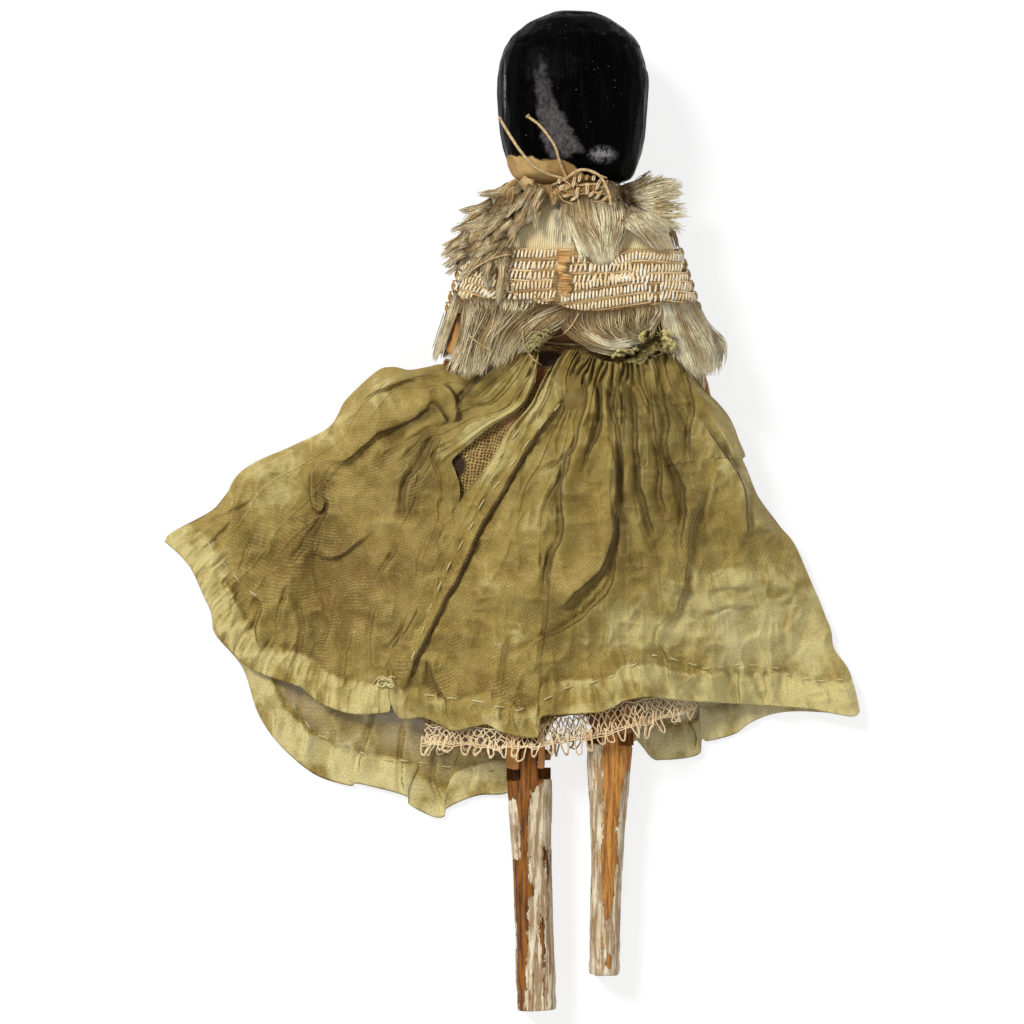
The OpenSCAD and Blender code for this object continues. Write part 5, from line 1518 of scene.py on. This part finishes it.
def left_tufts():
    """Overlapping brushy tufts from the neck down and out over the left shoulder."""
    rng = np.random.default_rng(71)
    parts = []
    for row in range(9):
        py = 254 - 8.2 * row
        first = 468 if py > 236 else 468 + (236 - py) * 0.95
        last = 513 + (22 if py < 214 else 0) + (14 if py < 200 else 0)
        for px in np.arange(first, last, 7.5):
            root = np.array([px + rng.uniform(-3, 3), py + rng.uniform(-3, 3)])
            k, d = np.clip((root[0] - 465) / 75, 0, 1), np.clip((root[1] - 185) / 80, 0, 1)
            turn = np.radians(8 + 60 * k ** 1.6 + 34 * d + rng.uniform(-13, 13))
            long = rng.uniform(20, 33)
            tip = root + long * np.array([-np.cos(turn), np.sin(turn)])
            parts.append(tuft(root, tip, rng.uniform(3.0, 5.6), 44, 1.4 + 0.16 * row, rng))
    for root, tip, wide in LEFT_LOCKS:
        parts.append(tuft(root, tip, wide, 64, 2.1, rng, 0.1))
    for root, tip, wide in LEFT_UNDER_LAYER:
        parts.append(tuft(root, tip, wide, 110, 1.0, rng, -0.1, 0.4))
    return parts


def right_tufts():
    """A bright fluffy tuft over the right shoulder, spread like a fan."""
    rng = np.random.default_rng(72)
    parts = []
    for k in range(46):
        share = rng.uniform(0, 1)
        turn = np.radians(-34 + 88 * share + rng.uniform(-8, 8))
        root = np.array([632 + rng.uniform(-8, 10), 193 + 26 * share + rng.uniform(-5, 5)])
        long = rng.uniform(26, 50) * (0.72 + 0.5 * np.sin(np.pi * (0.15 + 0.8 * share)))
        tip = root + long * np.array([np.cos(turn), np.sin(turn)])
        tip[0] = min(tip[0], 690 - abs(tip[1] - 222) * 0.28)
        parts.append(tuft(root, tip, rng.uniform(4, 7), 44, 1.4 + 0.02 * k, rng, 0.28, 1.0))
    for k in range(22):
        root = np.array([594 + 44 * k / 21 + rng.uniform(-3, 3), 186 + rng.uniform(-2, 8)])
        tip = root + np.array([rng.uniform(2, 14), rng.uniform(14, 24)])
        parts.append(tuft(root, tip, 4.5, 26, 1.3, rng, 0.0, 0.6))
    return parts


def make_floss():
    left, right = left_tufts(), right_tufts()
    # Loose floss down the middle of the back, to the braid
    right.append(floss([[(568, 200), (570, 220), (580, 244), (598, 264)], [(580, 198), (584, 220),
        (596, 244), (604, 268)], [(598, 198), (602, 222), (606, 246), (609, 266)],
        [(620, 200), (622, 222), (616, 246), (612, 262)]], 900, 0.35, 1.3, 132, 0.7, wave=0.6,
        bright=0.1))
    right.append(floss([[(560, 205), (558, 222), (562, 246)], [(566, 203), (567, 222), (572, 248)]], 60,
        0.12, 1.5, 133, 0.3))
    right.append(floss([[(572, 218), (578, 236), (592, 258)], [(566, 214), (572, 238), (582, 262)]], 70,
        0.15, 1.7, 134, bright=0.3))
    # Lower fringe: a thin outer lock, the left mass, the swag at the middle and the right mass
    left.append(floss([[(455, 292), (444, 330), (432, 366)], [(461, 300), (452, 325), (446, 338),
        (441, 352)]], 170, 0.16, 1.7, 139, 0.9, wave=0.3))
    left.append(floss([[(466, 300), (462, 330), (460, 350), (452, 374)], [(490, 304), (484, 326),
        (474, 350), (464, 378)], [(516, 304), (502, 322), (490, 342), (480, 375)],
        [(540, 306), (522, 320), (508, 336), (492, 366)], [(562, 308), (540, 322), (524, 334),
        (508, 350)], [(574, 314), (552, 328), (534, 338), (524, 344)]], 1900, 0.45, 1.5, 140, 1.3,
        wave=0.95, bright=-0.06))
    left.append(floss([[(470, 298), (470, 312), (462, 326)], [(500, 300), (500, 312), (494, 328)],
        [(535, 302), (533, 314), (522, 326)]], 260, 0.3, 1.8, 141, 0.7, wave=0.5, bright=0.1))
    right.append(floss([[(562, 308), (560, 322), (570, 335), (592, 346), (618, 350)],
        [(582, 312), (582, 324), (592, 336), (610, 345), (628, 347)], [(608, 312), (608, 323),
        (613, 333), (624, 341), (636, 342)], [(634, 308), (635, 318), (633, 328), (636, 335),
        (644, 335)], [(656, 306), (658, 312), (655, 320), (648, 327), (640, 328)]], 1300, 0.4, 1.5, 142,
        1.4, wave=0.6, bright=-0.12))
    right.append(floss([[(566, 326), (582, 340), (606, 349), (630, 347)], [(578, 326), (594, 338),
        (612, 345), (632, 341)]], 110, 0.3, 2.3, 144, 0.8, bright=0.2))
    right.append(floss([[(658, 304), (664, 326), (672, 344), (676, 356)], [(668, 304), (678, 335),
        (688, 360), (700, 378)], [(680, 304), (694, 334), (708, 356), (708, 376)],
        [(690, 303), (704, 330), (718, 350), (714, 368)], [(695, 302), (706, 326), (719, 345),
        (719, 358)]], 900, 0.35, 1.6, 143, 1.1, wave=0.6, bright=0.16))
    for side, parts in (("left", left), ("right", right)):
        paths, tones = (np.concatenate(part) for part in zip(*parts))
        to_arm(thread_piece("floss_back_" + side, paths, 0.05, FLOSS, "silk_floss",
            ("floss_collar", "floss_fringe"), sides=4, tones=tones), side)
    # A rolled tan lobe at the left of the neck and a fuzzy tan rim along the neckline
    rim = [floss([[(503, 200), (505, 187), (518, 180), (533, 184)], [(512, 204), (514, 192), (524, 188),
        (536, 193)]], 260, 0.2, 1.9, 150, 1.1, wave=0.3)]
    rng = np.random.default_rng(73)
    for k in range(40):
        root = np.array([530 + 96 * k / 39 + rng.uniform(-2, 2), 188 + rng.uniform(-3, 4)])
        rim.append(tuft(root, root + (rng.uniform(-9, 9), rng.uniform(6, 16)), 4, 22, 1.2, rng, 0.0, 0.6))
    paths, tones = (np.concatenate(part) for part in zip(*rim))
    thread_piece("floss_neck_rim", paths, 0.06, TAN_FLOSS, "silk_floss", ("floss_collar",), "torso", 4,
        tones=tones)


def make_front_floss():
    """Fringe and collar on the side that the doll lies on, from the same silk."""
    for side in SIDES:
        rng = np.random.default_rng(81 + (side == "right"))
        strands = []
        for k in range(420):
            edge = half_angles(side, 200)
            a = edge[int(rng.uniform(0.54, 1) * 199)]
            collar = k % 3 == 0
            start, long = (43.5, rng.uniform(5, 7)) if collar else (28.0, rng.uniform(4.5, 6.6))
            y = start - np.linspace(0, long, 12)
            turn = a + rng.normal(0, 0.03) * np.linspace(0, 1, 12)
            p = ring_place(turn, y, 0.9 + rng.uniform(0, 0.6))
            p[:, 2] = np.maximum(p[:, 2], 0.4)
            strands.append(p)
        to_arm(thread_piece("floss_front_" + side, strands, 0.06, GREY_FLOSS, "silk_floss",
            ("floss_collar", "floss_fringe"), sides=4, tones=rng.random(len(strands))), side)


make_floss()
make_front_floss()


# Drawn threads, stitches and loose ends
def waist_ring(grow):
    a = np.linspace(0, 2 * np.pi, 60, endpoint=False)
    c, s = np.cos(a), np.sin(a)
    return np.stack([MID_X - 0.3 + (WAIST_HALF + grow) * np.sign(c) * np.abs(c) ** 0.6,
        WAIST_Y + 0.3 + 0.5 * np.sin(a * 3 + 1), BODY_Z + (4.5 + grow) * np.sign(s) * np.abs(s) ** 0.6],
        -1)


def make_ties():
    for name, grow, surface, node, slot in (
            ("petticoat_tie_thread", -0.08, CREAM_THREAD, "petticoat_tie", "cream_thread"),
            ("drawstring_thread", 1.0, BROWN_THREAD, "skirt_drawstring", "green_silk")):
        thread_piece(name, [waist_ring(grow)], 0.16, surface, slot, (node,), "torso", 8, closed=True)


make_ties()


def tops(objects):
    """The highest surface of some pieces over a place, found by looking straight down."""
    trees = []
    for o in objects:
        mesh = o.evaluated_get(bpy.context.evaluated_depsgraph_get()).to_mesh()
        trees.append(BVHTree.FromPolygons([v.co for v in mesh.vertices],
            [p.vertices for p in mesh.polygons]))

    def find(x, y, fallback=0.0):
        best = None
        for tree in trees:
            hit = tree.ray_cast(Vector((x * MM, y * MM, 0.05)), Vector((0, 0, -1)))[0]
            if hit is not None and (best is None or hit.z > best):
                best = hit.z
        return fallback if best is None else best / MM
    return find


bpy.context.view_layer.update()
on_skirt = tops([back_right, back_left, front_left, front_right])
on_all = tops([back_right, back_left] + [bpy.data.objects[n] for n in ("floss_back_left",
    "floss_back_right", "cape_silk_left", "cape_silk_right", "gimp_loops_left", "gimp_loops_right",
    "head_and_torso_carved")])

STITCHED = [
    ([(205, 538), (238, 584), (261, 600)], 4),
    ([(262, 668), (280, 688), (309, 733), (365, 756), (410, 763), (462, 769), (500, 772)], 13),
    ([(648, 655), (670, 656), (705, 668), (740, 664), (775, 668), (795, 677), (849, 682)], 12),
    ([(420, 695), (470, 700), (520, 708), (560, 690), (610, 675), (645, 656)], 10),
    ([(539, 372), (528, 400), (507, 420), (480, 440), (458, 452)], 5),
    ([(560, 400), (540, 425), (520, 455), (490, 490), (460, 540), (440, 580), (425, 620), (408, 665)],
    13),
    ([(545, 385), (528, 420), (500, 455), (478, 488)], 5)]


def make_stitches():
    rng = np.random.default_rng(91)
    threads = []
    for row, count in STITCHED:
        path = resample(from_photo(row), count * 20)
        for k in range(count):
            start = int((k + rng.uniform(0.1, 0.3)) * 20)
            part = path[start:start + int(rng.uniform(8, 13))]
            if len(part) < 4:
                continue
            part = resample(part + rng.normal(0, 0.15, 2), 8)
            s = np.linspace(0, 1, 8)
            z = np.array([on_skirt(x, y) for x, y in part]) + 0.06 + 0.16 * np.sin(np.pi * s)
            threads.append(np.column_stack([part, z]))
    thread_piece("running_stitches", threads, 0.11, PALE_STITCH, "cream_thread", body="torso", sides=6,
        tones=rng.random(len(threads)))


make_stitches()


def laid(route, count, above=0.15):
    """A route in pixels of the photograph, laid over whatever is highest under it."""
    path = smooth_path(from_photo(route), count)
    z = np.array([on_all(x, y, 12.0) for x, y in path])
    z = np.maximum(z, np.convolve(np.pad(z, 2, "edge"), np.ones(5) / 5, "valid"))
    return np.column_stack([path, z + above])


def snarl(name, rng, centre, scatter, radii, share, count, size, surface, above, lift):
    """A heap of open loops of thread, laid over whatever is under them."""
    paths = []
    for _ in range(count):
        at = np.array(centre) + rng.uniform(-1, 1, 2) * scatter
        turn = rng.uniform(0, 6.3) + np.linspace(0, rng.uniform(2.5, 4.5), 12)
        loop = at + np.stack([np.cos(turn), np.sin(turn)], -1) * radii * rng.uniform(*share)
        paths.append(laid(loop, 14, above + rng.uniform(0, lift)))
    thread_piece(name, paths, size, surface, "cream_thread" if surface is PALE_STITCH else "green_silk",
        body="torso", sides=7, tones=rng.random(count), taper=False)


def make_loose_threads():
    """Short ends and loops of sewing thread at the neck, on the cape and at the waist."""
    routes = [[(471, 272), (484, 264), (500, 258), (515, 256)], [(505, 265), (509, 280), (513, 292),
        (518, 300)], [(522, 332), (523, 343), (527, 352), (534, 361), (543, 366), (552, 364),
        (558, 358), (563, 346)], [(537, 332), (546, 338), (562, 335), (571, 326), (578, 314)],
        [(640, 347), (648, 352), (656, 359)], [(570, 185), (576, 198), (580, 215), (586, 226),
        (590, 232)], [(468, 335), (478, 344), (492, 352)], [(530, 292), (545, 303), (552, 298)],
        [(643, 354), (655, 356), (664, 352), (672, 358)], [(372, 684), (380, 676), (390, 682),
        (394, 692)]]
    thread_piece("loose_threads", [laid(r, 24) for r in routes], 0.13, CREAM_THREAD, "cream_thread",
        body="torso", sides=6, tones=np.full(len(routes), 0.5))
    end = np.array([(7.6, 46.3, 17.8), (6.6, 48.6, 19.3), (5.9, 50.8, 20), (4, 53.4, 20.2),
        (2.2, 54.8, 20.1)])
    thread_piece("tie_end", [smooth_path(end, 30)], 0.19, CREAM_THREAD, "cream_thread", body="torso",
        sides=8, taper=False)
    snarl("waist_roll", np.random.default_rng(94), (628, 356), np.array([12, 4]), np.array([1, 0.7]),
        (3, 6), 34, 0.24, GREEN_SILK, 0.0, 0.4)
    ends = [[(-1.75, 54.4, 17.5), (-1.55, 54.75, 17.6)], [(2.3, 54.75, 20.1), (2.05, 55.0, 20.1)]]
    thread_piece("tie_knots", ends, 0.3, CREAM_THREAD, "cream_thread", body="torso", sides=8, taper=False)


def make_tangles():
    """Snarls of green thread and rolled gathers at both ends of the waist, and a knot low on the skirt."""
    rng = np.random.default_rng(95)
    for name, centre, reach, count, size, surface, above in (
            ("waist_tangle", (537, 342), (15, 10), 26, 0.13, GREEN_THREAD, 0.35),
            ("waist_puff", (656, 342), (16, 9), 44, 0.3, GREEN_SILK, 0.6),
            ("skirt_knot", (385, 681), (9, 7), 12, 0.12, PALE_STITCH, 0.1)):
        reach = np.array(reach)
        snarl(name, rng, centre, 0.7 * reach, reach, (0.25, 0.5), count, size, surface, above, 0.5)


make_loose_threads()
make_tangles()
